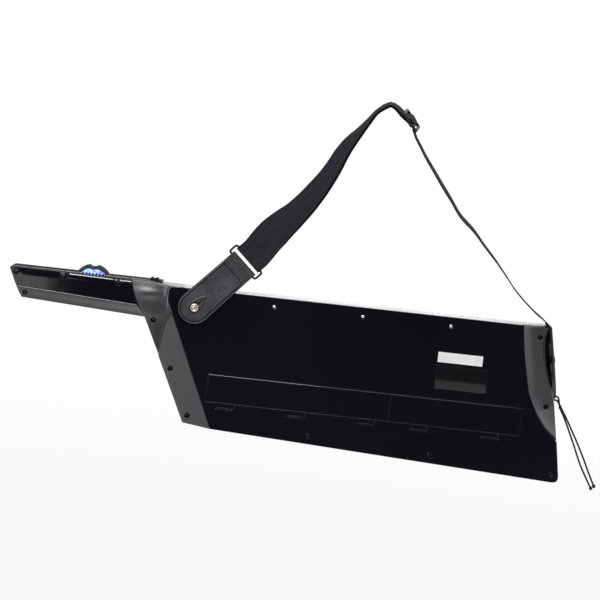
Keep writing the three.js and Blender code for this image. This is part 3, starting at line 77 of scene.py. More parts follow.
def makeCamera():
    down, roll = math.radians(camera["down"]), math.radians(camera["roll"])
    forward = Vector((0, math.cos(down), -math.sin(down)))
    level = Vector((1, 0, 0))
    above = level.cross(forward)
    right = level * math.cos(roll) + above * math.sin(roll)
    top = above * math.cos(roll) - level * math.sin(roll)
    lens = bpy.data.cameras.new("viewCamera")
    lens.lens = camera["lens"]
    lens.sensor_width = 36
    lens.clip_end = 100
    holder = addObject("viewCamera", lens)
    turn = Matrix((right, top, -forward)).transposed().to_4x4()
    holder.matrix_world = Matrix.Translation(at(*camera["place"])) @ turn
    bpy.context.scene.camera = holder


makeCamera()


# A shader socket with operators, so that a finish reads as a formula
class Wire:
    def __init__(self, tree, socket=None):
        self.tree = tree
        self.socket = socket

    def node(self, kind, settings=None, inputs=None, out=0):
        made = self.tree.nodes.new("ShaderNode" + kind)
        for key, value in (settings or {}).items():
            setattr(made, key, value)
        for key, value in (inputs or {}).items():
            if isinstance(value, Wire):
                self.tree.links.new(value.socket, made.inputs[key])
            else:
                made.inputs[key].default_value = value
        return Wire(self.tree, made.outputs[out])

    def calc(self, operation, first, second):
        return self.node("Math", {"operation": operation}, {0: first, 1: second})

    def __add__(self, other):
        return self.calc("ADD", self, other)

    def __sub__(self, other):
        return self.calc("SUBTRACT", self, other)

    def __rsub__(self, other):
        return self.calc("SUBTRACT", other, self)

    def __mul__(self, other):
        return self.calc("MULTIPLY", self, other)

    __radd__ = __add__
    __rmul__ = __mul__

    def wave(self, pitch):
        return self.node("Math", {"operation": "SINE"}, {0: self * (2 * math.pi / pitch)})

    def smooth(self, low, high, start=0.0, end=1.0):
        settings = {"interpolation_type": "SMOOTHSTEP"}
        values = {"Value": self, "From Min": low, "From Max": high, "To Min": start, "To Max": end}
        return self.node("MapRange", settings, values)

    def scaled(self, x, y, z):
        return self.node("VectorMath", {"operation": "MULTIPLY"}, {0: self, 1: (x, y, z)})

    def noise(self, scale, detail, rough):
        values = {"Vector": self, "Scale": scale, "Detail": detail, "Roughness": rough}
        return self.node("TexNoise", None, values)

    def part(self, axis):
        return self.node("SeparateXYZ", None, {0: self}, "XYZ".index(axis))

    def blend(self, first, second):
        ends = [end if isinstance(end, Wire) else (*end, 1) for end in (first, second)]
        return self.node("Mix", {"data_type": "RGBA"}, {0: self, 6: ends[0], 7: ends[1]}, 2)

    def bump(self, depth):
        return self.node("Bump", None, {"Height": self, "Distance": depth, "Strength": 1.0})


# Starts a finish: its place wire, and a function that fills the shader's sockets
def newFinish(name, fixed, uv=None):
    material = bpy.data.materials.new(name)
    material.use_nodes = True
    tree = material.node_tree
    shader = tree.nodes["Principled BSDF"]
    for key, value in fixed.items():
        shader.inputs[key].default_value = value
    start = Wire(tree)
    if uv:
        place = start.node("UVMap", {"uv_map": uv})
    else:
        place = start.node("TexCoord", None, None, "Object")

    def fill(**links):
        for key, wire in links.items():
            tree.links.new(wire.socket, shader.inputs[key.replace("_", " ")])
        return material

    return place, fill


def toned(colour, factor, lift=0.0):
    return tuple(min(1.0, channel * factor + lift) for channel in colour)


# Moulded plastic: a base colour, uneven roughness, fine grain, and worn or dusty patches
def plasticFinish(name, colour, rough, grain, grainDepth, spread=0.08, coat=0.0, specular=0.5):
    fixed = {"Coat Roughness": 0.05, "Specular IOR Level": specular, "Coat Weight": coat}
    place, fill = newFinish(name, fixed)
    cloud = place.noise(9.0, 4.0, 0.6)
    specks = place.noise(grain, 2.0, 0.6)
    tint = cloud.smooth(0.3, 0.7).blend(toned(colour, 0.9), toned(colour, 1.16, 0.002))
    scuffs = place.scaled(1, 1, 3).noise(70.0, 5.0, 0.7).smooth(0.56, 0.74)
    roughness = cloud.smooth(0.25, 0.75, rough - spread / 2, rough + spread / 2) + scuffs * spread
    return fill(Base_Color=tint, Roughness=roughness, Normal=specks.bump(grainDepth))


# Glossy plate: near black, with hairline scratches and fingerprints that only change its roughness
def glossFinish(name, colour, specular):
    place, fill = newFinish(name, {"Specular IOR Level": specular})
    drift = place.noise(3.2, 2.0, 0.5)
    tint = drift.smooth(0.3, 0.7).blend(toned(colour, 0.85), toned(colour, 1.2))
    prints = place.noise(24.0, 5.0, 0.65).smooth(0.55, 0.75)
    hairs = place.scaled(1, 1, 26).noise(160.0, 2.0, 0.5).smooth(0.62, 0.7)
    roughness = 0.07 + prints * 0.08 + hairs * 0.06
    ripple = place.noise(16.0, 2.0, 0.4)
    return fill(Base_Color=tint, Roughness=roughness, Normal=ripple.bump(0.00012))


# Metal: dull stains and a very fine grain
def metalFinish(name, colour, rough):
    place, fill = newFinish(name, {"Metallic": 1.0})
    stain = place.noise(260.0, 4.0, 0.6)
    fine = place.noise(2600.0, 2.0, 0.5)
    tint = stain.smooth(0.3, 0.7).blend(toned(colour, 0.72), colour)
    roughness = stain.smooth(0.3, 0.7, rough + 0.12, rough)
    return fill(Base_Color=tint, Roughness=roughness, Normal=fine.bump(0.00002))


# Leather: pebbled grain, fine creases and rubbed patches
def leatherFinish():
    place, fill = newFinish("darkLeather", {"Specular IOR Level": 0.3})
    pebbles = place.node("TexVoronoi", {"feature": "F1"}, {"Vector": place, "Scale": 620.0})
    creases = place.noise(900.0, 4.0, 0.6)
    wear = place.noise(45.0, 4.0, 0.65)
    tint = wear.smooth(0.35, 0.72).blend((0.009, 0.0093, 0.0135), (0.019, 0.0195, 0.027))
    roughness = wear.smooth(0.3, 0.75, 0.42, 0.6) - pebbles.smooth(0.1, 0.5) * 0.06
    grain = pebbles.smooth(0.0, 0.55, 1.0, 0.0) + creases * 0.5
    return fill(Base_Color=tint, Roughness=roughness, Normal=grain.bump(0.00014))


# Webbing: u runs across and v along, both in metres
def webbingFinish():
    place, fill = newFinish("darkWebbing", {"Specular IOR Level": 0.03}, "weave")
    across, along = place.part("X"), place.part("Y")
    rib = (across + along * 0.5).wave(0.0022)
    pick = along.wave(0.0017)
    selvage = across.smooth(0.0, 0.0032, 1.0, 0.0) + across.smooth(0.0468, 0.05)
    height = rib * pick * 0.5 + rib * 0.3
    streak = place.scaled(240, 9, 1).noise(1.0, 3.0, 0.5)
    base = streak.smooth(0.3, 0.7).blend((0.037, 0.0355, 0.045), (0.056, 0.0545, 0.068))
    # Painted shade: the weave's low places are darkened towards near black, as shade in its grooves
    tint = height.smooth(-0.8, 0.8).blend((0.002, 0.002, 0.003), base)
    tint = selvage.blend(tint, (0.006, 0.006, 0.008))
    roughness = streak.smooth(0.2, 0.8, 0.72, 0.9)
    return fill(Base_Color=tint, Roughness=roughness, Normal=height.bump(0.00022))


# Lace: two-ply twist along its UV map, u round it and v along it in metres
def laceFinish():
    place, fill = newFinish("waxedLace", {"Specular IOR Level": 0.15}, "twist")
    around, along = place.part("X"), place.part("Y")
    ply = (along * 620.0 + around).wave(1.0)
    fuzz = place.scaled(20, 900, 1).noise(1.0, 3.0, 0.6)
    # Painted shade: the grooves between the plies are darker
    tint = ply.smooth(-1, 1).blend((0.001, 0.001, 0.0012), (0.006, 0.006, 0.006))
    roughness = fuzz.smooth(0.2, 0.8, 0.5, 0.75)
    return fill(Base_Color=tint, Roughness=roughness, Normal=(ply + fuzz * 0.4).bump(0.00018))


# Clear blue wheel with moulded streaks and painted glow: its emission paints light in the plastic
def paintedGlowFinish():
    fixed = {"Emission Strength": 2.2, "Coat Weight": 0.5, "Coat Roughness": 0.08}
    place, fill = newFinish("clearBlue", fixed)
    swirl = place.noise(140.0, 3.0, 0.5)
    # The painted glow is palest at the left and turns cooler and darker along the slot
    drift = place.part("X").smooth(-0.452, -0.418)
    pale = drift.blend((0.30, 0.62, 1.0), (0.30, 0.32, 1.0))
    deep = drift.blend((0.03, 0.16, 0.95), (0.03, 0.05, 0.85))
    tint = swirl.smooth(0.3, 0.7).blend((0.02, 0.08, 0.75), (0.06, 0.22, 1.0))
    paintedGlow = swirl.smooth(0.36, 0.66).blend(deep, pale)
    roughness = swirl.smooth(0.2, 0.8, 0.12, 0.3)
    return fill(Base_Color=tint, Emission_Color=paintedGlow, Roughness=roughness)


# Name, colour, roughness, grain scale, grain depth, then roughness spread, coat and specular
glossBlack = glossFinish("glossBlack", (0.0055, 0.0052, 0.0085), 0.35)
charcoal = plasticFinish("charcoalMatte", (0.0165, 0.0172, 0.0205), 0.31, 2400, 0.00004, 0.06)
slate = plasticFinish("slateMatte", (0.015, 0.016, 0.020), 0.33, 2400, 0.00003, 0.06)
satinBlack = plasticFinish(
    "satinBlack", (0.006, 0.006, 0.008), 0.4, 1800, 0.00004, 0.08, 0.0, 0.1)
whitePlastic = plasticFinish("whitePlastic", (0.76, 0.77, 0.80), 0.26, 900, 0.00002, 0.06, 0.3)
keyWhite = plasticFinish("keyWhite", (0.80, 0.80, 0.79), 0.2, 700, 0.00001, 0.06, 0.4)
keyBlack = plasticFinish("keyBlack", (0.010, 0.010, 0.011), 0.3, 1500, 0.00003)
rubber = plasticFinish("softRubber", (0.009, 0.009, 0.011), 0.7, 1600, 0.00006, 0.08, 0.0, 0.25)
boardGreen = plasticFinish("boardGreen", (0.012, 0.085, 0.035), 0.4, 400, 0.00004)
# Pale grey for thin beads that paint highlights along edges
seamGrey = plasticFinish("seamGrey", (0.2, 0.2, 0.21), 0.35, 1800, 0.00002)
labelPaper = plasticFinish("labelPaper", (0.78, 0.78, 0.78), 0.45, 1200, 0.00001)
labelFoil = plasticFinish(
    "labelFoil", (0.007, 0.007, 0.009), 0.16, 1200, 0.00001, 0.04, 0.0, 0.12)
threadBlack = plasticFinish(
    "darkThread", (0.003, 0.003, 0.003), 0.8, 3000, 0.00004, 0.08, 0.0, 0.1)
threadGrey = plasticFinish("waxedThread", (0.035, 0.035, 0.040), 0.7, 3000, 0.00005)
brightSteel = metalFinish("brightSteel", (0.52, 0.51, 0.49), 0.26)
# Near-black steel: the dark screws' own finish, darkened further as painted shade of their deep
# recesses
darkSteel = metalFinish("darkSteel", (0.025, 0.025, 0.028), 0.3)
bronze = metalFinish("bronze", (0.46, 0.40, 0.32), 0.22)
leather = leatherFinish()
webbingWeave = webbingFinish()
laceTwist = laceFinish()
clearBlue = paintedGlowFinish()
print("finishes made")


def clamp(value, low=0.0, high=1.0):
    return max(low, min(high, value))


def ease(value, low=0.0, high=1.0):
    t = clamp((value - low) / (high - low))
    return t * t * (3 - 2 * t)


def share(a, b, t):
    return tuple(Vector(a).lerp(Vector(b), t))


def onLine(a, b, z):
    return a[0] + (b[0] - a[0]) * (z - a[1]) / (b[1] - a[1])


# Welds a mesh, drops its loose points and turns its faces outward
def tidyMesh(mesh, weld=1e-6, flatAngle=0.0):
    work = bmesh.new()
    work.from_mesh(mesh)
    bmesh.ops.remove_doubles(work, verts=work.verts, dist=weld)
    if flatAngle:
        limit = math.radians(flatAngle)
        bmesh.ops.dissolve_limit(work, angle_limit=limit, verts=work.verts, edges=work.edges)
    loose = [vert for vert in work.verts if not vert.link_faces]
    bmesh.ops.delete(work, geom=loose, context="VERTS")
    bmesh.ops.recalc_face_normals(work, faces=work.faces)
    work.to_mesh(mesh)
    work.free()


def meshFrom(name, places, faces, edges=()):
    mesh = bpy.data.meshes.new(name)
    mesh.from_pydata([tuple(place) for place in places], edges, faces)
    return mesh


# A piece in view: smooth except at edges sharper than angle, on its body, in place of its CAD node
def finishMesh(name, mesh, material, slot, body="casing", node=None, angle=32):
    mesh.materials.clear()
    mesh.materials.append(material)
    if angle:
        mesh.shade_smooth()
        mesh.set_sharp_from_angle(angle=math.radians(angle))
    piece = addObject(name, mesh)
    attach(piece, body)
    if node:
        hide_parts(node)
    return piece


def addPiece(name, shape, *rest, **options):
    mesh = meshFrom(name, *shape)
    tidyMesh(mesh)
    return finishMesh(name, mesh, *rest, **options)


# Modifiers baked into a plain mesh
def baked(piece):
    graph = bpy.context.evaluated_depsgraph_get()
    mesh = bpy.data.meshes.new_from_object(piece.evaluated_get(graph))
    piece.modifiers.clear()
    bpy.data.objects.remove(piece)
    return mesh


# Rounding of CAD meshes. Faces broader than broadFace, in square metres, stay flat shaded.
softening = {"angle": 30, "weld": 1e-5, "flatAngle": 1.2, "broadFace": 2e-4, "broadMatch": 0.9996}


# Directions in which a mesh has a broad flat face
def broadNormals(mesh):
    areas = {}
    for polygon in mesh.polygons:
        key = tuple(round(part, 2) for part in polygon.normal)
        areas[key] = areas.get(key, 0) + polygon.area
    broad = [key for key, area in areas.items() if area > softening["broadFace"]]
    return [Vector(key).normalized() for key in broad]


# A copy of a CAD node's mesh with its edges rounded
def softened(node, name, width, material, slot, segments):
    mesh = frame["nodes"][node].data.copy()
    tidyMesh(mesh, softening["weld"], softening["flatAngle"])
    broad = broadNormals(mesh)
    angle = math.radians(softening["angle"])
    mesh.shade_smooth()
    mesh.set_sharp_from_angle(angle=angle)
    carrier = addObject(name + "Work", mesh)
    bevel = carrier.modifiers.new("edges", "BEVEL")
    bevel.width = width / 1000
    bevel.segments = segments
    bevel.limit_method = "ANGLE"
    bevel.angle_limit = angle
    bevel.use_clamp_overlap = True
    bevel.harden_normals = True
    shape = baked(carrier)
    for polygon in shape.polygons:
        if any(polygon.normal.dot(normal) > softening["broadMatch"] for normal in broad):
            polygon.use_smooth = False
    finishMesh(name, shape, material, slot, frame["nodes"][node]["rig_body"], node, None)


# A closed line moved inward by a distance, or outward by a negative one
def insetLoop(points, distance):
    area = sum(a[0] * b[1] - b[0] * a[1] for a, b in zip(points, points[1:] + points[:1]))
    turn = 1 if area > 0 else -1
    moved = []
    for i, point in enumerate(points):
        corner = Vector(point)
        before = (corner - Vector(points[i - 1])).normalized()
        after = (Vector(points[(i + 1) % len(points)]) - corner).normalized()
        bisector = Vector((-before.y - after.y, before.x + after.x)) * turn
        reach = 2 * distance / max(bisector.length_squared, 0.6)
        moved.append(tuple(corner + bisector * reach))
    return moved


# A closed line whose corners that carry a third number are rounded by that radius
def roundedLoop(points, steps):
    loop = []
    for i, point in enumerate(points):
        corner = Vector(point[:2])
        if len(point) < 3:
            loop.append(tuple(corner))
            continue
        toLast = (Vector(points[i - 1][:2]) - corner).normalized()
        toNext = (Vector(points[(i + 1) % len(points)][:2]) - corner).normalized()
        reach = point[2] / math.tan(math.acos(clamp(toLast.dot(toNext), -1)) / 2)
        start, end = corner + toLast * reach, corner + toNext * reach
        for k in range(steps + 1):
            t = k / steps
            loop.append(tuple(start * (1 - t) ** 2 + corner * 2 * t * (1 - t) + end * t * t))
    return loop


def spread(points, step):
    dense = []
    for a, b in zip(points, points[1:] + points[:1]):
        count = max(1, round(math.dist(a, b) / step))
        dense += [share(a, b, k / count) for k in range(count)]
    return dense


def circle(x, z, radius, sides=24):
    turns = [2 * math.pi * k / sides for k in range(sides)]
    return [(x + radius * math.cos(turn), z + radius * math.sin(turn)) for turn in turns]


# A smooth line through places, with steps places on each stretch
def catmull(points, steps):
    path = []
    for i in range(len(points) - 1):
        p1, p2 = points[i], points[i + 1]
        p0 = points[i - 1] if i else p1 * 2 - p2
        p3 = points[i + 2] if i + 2 < len(points) else p2 * 2 - p1
        d1, d2, d3 = ((b - a).length ** 0.5 or 1 for a, b in ((p0, p1), (p1, p2), (p2, p3)))
        m1 = ((p1 - p0) / d1 - (p2 - p0) / (d1 + d2) + (p2 - p1) / d2) * d2
        m2 = ((p2 - p1) / d2 - (p3 - p1) / (d2 + d3) + (p3 - p2) / d3) * d2
        for k in range(steps):
            t = k / steps
            blend = 3 * t**2 - 2 * t**3
            start, end = t**3 - 2 * t**2 + t, t**3 - t**2
            path.append(p1 * (1 - blend) + m1 * start + p2 * blend + m2 * end)
    path.append(points[-1])
    return path


def curveThrough(marks):
    return [(p.x, p.z) for p in catmull([Vector((x, 0, z)) for x, z in marks], 5)]


def isInside(point, loop):
    x, z = point
    inside = False
    for a, b in zip(loop, loop[1:] + loop[:1]):
        if (a[1] > z) != (b[1] > z) and x < onLine(a, b, z):
            inside = not inside
    return inside


# Distance from a line, negative on the left of its nearest stretch
def signedTo(point, line):
    best, side = 1e9, 1
    for (ax, az), (bx, bz) in zip(line, line[1:]):
        dx, dz, px, pz = bx - ax, bz - az, point[0] - ax, point[1] - az
        t = clamp((px * dx + pz * dz) / (dx * dx + dz * dz or 1e-12))
        away = math.hypot(px - dx * t, pz - dz * t)
        if away < best:
            best, side = away, -1 if dx * pz - dz * px > 0 else 1
    return best * side


def toLine(point, line):
    return abs(signedTo(point, line))


def toEdge(point, loop):
    return toLine(point, loop + loop[:1])


# A plate whose face follows surface(x, z), rounded at its rim and at its holes. rim and holeRim list
# (distance from the edge, drop of the face there); behind(x, z) is the depth of the other side.
def reliefPlate(
    outline, holes, rim, surface, step, behind, lines=(), holeRim=None, place3=at,
):
    outer = spread(outline, step * 1.5) if step else outline
    holeRim = holeRim or rim
    rings = [(insetLoop(outer, distance), drop) for distance, drop in rim]
    rings += [(insetLoop(hole, -distance), drop) for hole in holes for distance, drop in holeRim]
    flat, drops, edges = [], [], []
    for loop, drop in rings:
        first = len(flat)
        flat += loop
        drops += [drop] * len(loop)
        edges += [(first + k, first + (k + 1) % len(loop)) for k in range(len(loop))]
    for line in lines:
        first = len(flat)
        flat += line
        drops += [0] * len(line)
        edges += [(first + k, first + k + 1) for k in range(len(line) - 1)]
    if step:
        near = step * 0.45
        xs, zs = [p[0] for p in outline], [p[1] for p in outline]
        inner = rings[len(rim) - 1][0]
        holeLoops = [insetLoop(hole, -holeRim[-1][0]) for hole in holes]
        for i in range(int((max(xs) - min(xs)) / step) + 1):
            for k in range(int((max(zs) - min(zs)) / step) + 1):
                place = (min(xs) + i * step + (k % 2) * step / 2, min(zs) + k * step)
                if not isInside(place, inner) or toEdge(place, inner) < near:
                    continue
                if any(isInside(place, loop) or toEdge(place, loop) < near for loop in holeLoops):
                    continue
                if any(min(math.dist(place, mark) for mark in line) < near for line in lines):
                    continue
                flat.append(place)
                drops.append(0)
    found, _, faces, origins, _, _ = delaunay_2d_cdt(
        [Vector(place) for place in flat], edges, [], 0, 1e-5)
    places = []
    for place, sources in zip(found, origins):
        drop = drops[sources[0]] if sources else 0
        places.append((place.x, surface(place.x, place.y) + drop, place.y))
    kept = []
    for face in faces:
        middle = (sum(found[i].x for i in face) / 3, sum(found[i].y for i in face) / 3)
        if isInside(middle, rings[0][0]) and not any(isInside(middle, hole) for hole in holes):
            kept.append(tuple(face))
    # The other side, and the walls between the two
    uses = {}
    for face in kept:
        for a, b in zip(face, face[1:] + face[:1]):
            uses.setdefault((min(a, b), max(a, b)), []).append((a, b))
    border = [use[0] for use in uses.values() if len(use) == 1]
    twin = {}
    for i in sorted({i for face in kept for i in face}):
        twin[i] = len(places)
        x, _, z = places[i]
        places.append((x, behind(x, z), z))
    faces = kept + [tuple(twin[i] for i in reversed(face)) for face in kept]
    faces += [(b, a, twin[a], twin[b]) for a, b in border]
    return [place3(*place) for place in places], faces


# Faces round rings of places: joined to a loop, or with a cap at each end
def tubeFaces(rings, row, closed=False):
    faces = []
    for i in range(rings if closed else rings - 1):
        j = (i + 1) % rings
        for k in range(row):
            n = (k + 1) % row
            faces.append((i * row + k, i * row + n, j * row + n, j * row + k))
    if not closed:
        faces.append(tuple(range(row)))
        faces.append(tuple((rings - 1) * row + k for k in reversed(range(row))))
    return faces


# A round bar along a closed or open line; radius is one number or one for each place
def sweepRound(path, radius, sides, closed=False):
    radii = radius if isinstance(radius, list) else [radius] * len(path)
    places, lift = [], None
    for i, place in enumerate(path):
        if closed:
            ahead = (path[(i + 1) % len(path)] - path[i - 1]).normalized()
        else:
            ahead = (path[min(i + 1, len(path) - 1)] - path[max(i - 1, 0)]).normalized()
        lift = lift or ahead.orthogonal().normalized()
        lift = (lift - ahead * lift.dot(ahead)).normalized()
        side = ahead.cross(lift)
        for k in range(sides):
            turn = 2 * math.pi * k / sides
            places.append(place + (lift * math.cos(turn) + side * math.sin(turn)) * radii[i])
    return places, tubeFaces(len(path), sides, closed)


# A turned shape: profile lists (radius, height) in millimetres, and matrix places its axis
def turned(profile, matrix, sides):
    places = []
    for radius, height in profile:
        for x, y in circle(0, 0, max(radius / 1000, 1e-4), sides):
            places.append(matrix @ Vector((x, y, height / 1000)))
    return places, tubeFaces(len(profile), sides)


def blockShape(low, high):
    (ax, ay, az), (bx, by, bz) = low, high
    corners = [(x, y, z) for z in (az, bz) for x, y in ((ax, ay), (bx, ay), (bx, by), (ax, by))]
    faces = [(0, 3, 2, 1), (4, 5, 6, 7), (0, 1, 5, 4), (1, 2, 6, 5), (2, 3, 7, 6), (3, 0, 4, 7)]
    return [Vector(corner) for corner in corners], faces


def joined(*shapes):
    places, faces = [], []
    for shapePlaces, shapeFaces in shapes:
        first = len(places)
        places += shapePlaces
        faces += [tuple(i + first for i in face) for face in shapeFaces]
    return places, faces


# Geometry Nodes: one small item at each point, or along a line
def itemTree(name, alongLine):
    tree = bpy.data.node_groups.new(name, "GeometryNodeTree")
    inputs = {
        "Geometry": "Geometry", "Item": "Object", "Finish": "Material", "Pitch": "Float",
        "Size": "Float", "Seed": "Int",
    }
    for label, kind in inputs.items():
        tree.interface.new_socket(label, in_out="INPUT", socket_type="NodeSocket" + kind)
    tree.interface.new_socket("Geometry", in_out="OUTPUT", socket_type="NodeSocketGeometry")

    def join(start, output, end, entry):
        tree.links.new(start.outputs[output], end.inputs[entry])

    source, sink = tree.nodes.new("NodeGroupInput"), tree.nodes.new("NodeGroupOutput")
    item = tree.nodes.new("GeometryNodeObjectInfo")
    spots = tree.nodes.new("GeometryNodeInstanceOnPoints")
    join(source, "Item", item, "Object")
    join(item, "Geometry", spots, "Instance")
    join(source, "Size", spots, "Scale")
    if alongLine:
        line = tree.nodes.new("GeometryNodeMeshToCurve")
        evenly = tree.nodes.new("GeometryNodeResampleCurve")
        evenly.mode = "LENGTH"
        ahead = tree.nodes.new("GeometryNodeInputTangent")
        keep = tree.nodes.new("GeometryNodeCaptureAttribute")
        keep.capture_items.new("VECTOR", "ahead")
        turn = tree.nodes.new("FunctionNodeAlignRotationToVector")
        turn.axis = "X"
        join(source, "Geometry", line, "Mesh")
        join(line, "Curve", evenly, "Curve")
        join(source, "Pitch", evenly, "Length")
        join(evenly, "Curve", keep, "Geometry")
        join(ahead, "Tangent", keep, 1)
        join(keep, 1, turn, "Vector")
        join(keep, "Geometry", spots, "Points")
        join(turn, "Rotation", spots, "Rotation")
    else:
        chance = tree.nodes.new("FunctionNodeRandomValue")
        chance.data_type = "FLOAT"
        chance.inputs[3].default_value = math.pi
        turn = tree.nodes.new("ShaderNodeCombineXYZ")
        join(source, "Seed", chance, "Seed")
        join(chance, 1, turn, "Y")
        join(source, "Geometry", spots, "Points")
        join(turn, 0, spots, "Rotation")
    real = tree.nodes.new("GeometryNodeRealizeInstances")
    finish = tree.nodes.new("GeometryNodeSetMaterial")
    join(spots, "Instances", real, "Geometry")
    join(real, "Geometry", finish, "Geometry")
    join(source, "Finish", finish, "Material")
    join(finish, "Geometry", sink, "Geometry")
    return tree


pointTree = itemTree("itemsAtPoints", False)
lineTree = itemTree("itemsAlongLines", True)


# Items every pitch along the lines, or without a pitch one at each of their places
def repeated(name, lines, item, material, slot, body="casing", pitch=0.0, size=1.0, seed=1):
    tree = lineTree if pitch else pointTree
    places, edges = [], []
    for line in lines:
        if pitch:
            edges += [(len(places) + k, len(places) + k + 1) for k in range(len(line) - 1)]
        places += line
    carrier = addObject(name + "Work", meshFrom(name + "Line", places, [], edges))
    itemMesh = meshFrom(name + "Item", *item)
    tidyMesh(itemMesh)
    itemObject = addObject(name + "Item", itemMesh)
    maker = carrier.modifiers.new("repeat", "NODES")
    maker.node_group = tree
    values = {"Item": itemObject, "Finish": material, "Pitch": pitch, "Size": size, "Seed": seed}
    for socket in tree.interface.items_tree:
        if socket.in_out == "INPUT" and socket.name in values:
            maker[socket.identifier] = values[socket.name]
    shape = baked(carrier)
    bpy.data.objects.remove(itemObject)
    finishMesh(name, shape, material, slot, body)


# Lace: a waxed cord through the right tab's hole, with its tails knotted. The middle knot sits
# between two places of the route.
lace = {
    "radius": 0.00145,
    "sides": 10,
    "knot": 0.0040,
    "middleKnot": (9, 19),
    "route": [
        (652, 21, -36), (648.5, 20.7, -30.5), (640.5, 20.2, -17.5), (632.5, 19.8, -4), (625, 19.5, 11),
        (617.5, 19.3, 27.5), (610, 19.2, 43), (602.5, 19.2, 58.5), (594.5, 19.4, 74), (587, 20, 87.5),
        (582.8, 20.6, 102.2), (580.1, 21, 103.7), (577.3, 21.4, 104.2), (575.2, 21.7, 103.5),
        (574.5, 21.9, 101.9), (574.9, 22.1, 99.8), (576, 22.3, 98.2), (578.4, 22.6, 97.6),
        (581.3, 23, 97.4), (588.8, 23.8, 87.5), (596.8, 24.3, 75.5), (604.5, 24.7, 63),
        (612.5, 25, 49.5), (620.5, 25, 36), (628.5, 25, 21.5), (636.5, 25, 6.5), (644, 25, -8.5),
        (651, 25, -22), (657, 25, -33),
    ],
}


# Distance run along a path at each of its places
def runOf(path):
    run = [0.0]
    for a, b in zip(path, path[1:]):
        run.append(run[-1] + (b - a).length)
    return run


# A small overhand knot: a lumpy ball of three crossing turns
def knotShape(middle, axis, size):
    axis = axis.normalized()
    lift = axis.orthogonal().normalized()
    side = axis.cross(lift)
    path = []
    for k in range(48):
        t = 2 * math.pi * k / 48
        flat = lift * (math.sin(t) + 1.1 * math.sin(2 * t)) * 0.33
        flat += side * (math.cos(t) - 1.1 * math.cos(2 * t)) * 0.33
        ring = 0.8 * (1 + 0.42 * math.cos(3 * t))
        path.append(middle + (flat * ring - axis * math.sin(3 * t) * 0.36) * size)
    return sweepRound(path, size * 0.36, 8, True)


def makeLace():
    route = [at(*place) for place in lace["route"]]
    path = catmull(route, 6)
    run, sides = runOf(path), lace["sides"]
    mesh = meshFrom("strapLace", *sweepRound(path, lace["radius"], sides))
    layer = mesh.uv_layers.new(name="twist")
    for polygon in mesh.polygons:
        turns = [mesh.loops[i].vertex_index % sides for i in polygon.loop_indices]
        wraps = max(turns) - min(turns) > sides / 2
        for i, k in zip(polygon.loop_indices, turns):
            u = (k + sides if wraps and k < sides / 2 else k) / sides
            layer.data[i].uv = (u, run[mesh.loops[i].vertex_index // sides])
    cordPiece = finishMesh(
        "strap_lace_cord", mesh, laceTwist, "dark_leather", node="strap_lace", angle=60)
    low, high = lace["middleKnot"]
    knots = joined(
        knotShape(route[0], route[1] - route[0], lace["knot"]),
        knotShape(route[-1], route[-1] - route[-2], lace["knot"]),
        knotShape(
            route[low].lerp(route[high], 0.5), route[low - 1] - route[low + 1], lace["knot"] * 0.95),
    )
    knotPiece = addPiece("strap_lace_knots", knots, laceTwist, "dark_leather", angle=60)
    knotPiece.data.uv_layers.new(name="twist")
    print("lace length", round(run[-1], 4))


makeLace()
print("camera and lace set")

# Stage: pale floor, white background, soft lamps, and cards that only reflections see. Each card
# goes from its low to its high corner; its last number is its brightness.
stage = {
    "floorZ": -1.22,
    "floorHalf": 14,
    "floorGrey": 0.86,
    "floorGlow": (0.5, 5.0, 0.72, 1.0),
    "ambient": 0.5,
    "lamps": [
        ("key", (-1.6, -2.2, 1.9), (0, 0, -0.3), 1.6, 42),
        ("fill", (2.2, -1.6, 0.7), (0.1, 0, -0.3), 1.2, 14),
        ("rim", (0.4, 1.6, 1.6), (0.1, 0, -0.2), 1.6, 26),
    ],
    "cards": [
        ("darkCard", (-1.25, -3.3, -1.2), (2.6, -3.3, 1.3), 0.012),
        ("darkFloor", (-0.85, -3.3, -1.2), (0.1, -1.2, -1.2), 0.02),
        ("nearFloor", (0.1, -3.3, -1.2), (2.6, -2.6, -1.2), 0.02),
        ("seamFloor", (0.1, -2.6, -1.2), (1.6, -0.2, -1.2), 2.8),
        ("seamFloorLeft", (-0.5, -1.2, -1.2), (0.1, -0.2, -1.2), 4.0),
        ("leftFloor", (-2.6, -3.3, -1.2), (-0.85, -1.2, -1.2), 2.2),
        ("gripFloor", (-1.3, -1.2, -1.2), (-0.5, -0.2, -1.2), 1.6),
        ("topCard", (-1.6, -1.6, 2.2), (1.4, 0.6, 2.2), 3.0),
        ("backCard", (-1.5, 3.0, -0.4), (-0.48, 3.0, 1.2), 0.03),
        ("leftCard", (-3.8, -3.0, -0.85), (-1.4, -3.0, 1.3), 4.8),
        ("lowLeftCard", (-3.8, -3.0, -1.2), (-1.4, -3.0, -0.85), 1.0),
        ("stripCard", (0, -3.2, 1.32), (0.7, -3.2, 1.8), 12.0),
        ("neckStrip", (-1.5, -3.2, 0.95), (0, -3.2, 1.8), 36.0),
        ("tipCard", (-1.12, -3.2, -0.9), (-0.94, -3.2, -0.64), 2.6),
    ],
}


# 1 for what the camera, a reflection or clear plastic shows of the background
def raySeen(tree):
    paths = Wire(tree).node("LightPath").socket.node.outputs
    seen = Wire(tree, paths["Is Camera Ray"]) + Wire(tree, paths["Is Glossy Ray"])
    seen = seen + Wire(tree, paths["Is Transmission Ray"])
    return seen.calc("MINIMUM", seen, 1.0)


# A flat rectangle from one corner to the other, with a new material
def flatStage(name, low, high):
    (lowX, lowY, lowZ), (highX, highY, highZ) = low, high
    corners = [(lowX, lowY, lowZ), (highX, lowY, lowZ), (highX, highY, highZ), (lowX, highY, highZ)]
    mesh = meshFrom(name, corners, [(0, 1, 2, 3)])
    piece = addObject(name, mesh)
    material = bpy.data.materials.new(name)
    material.use_nodes = True
    mesh.materials.append(material)
    return piece, material.node_tree


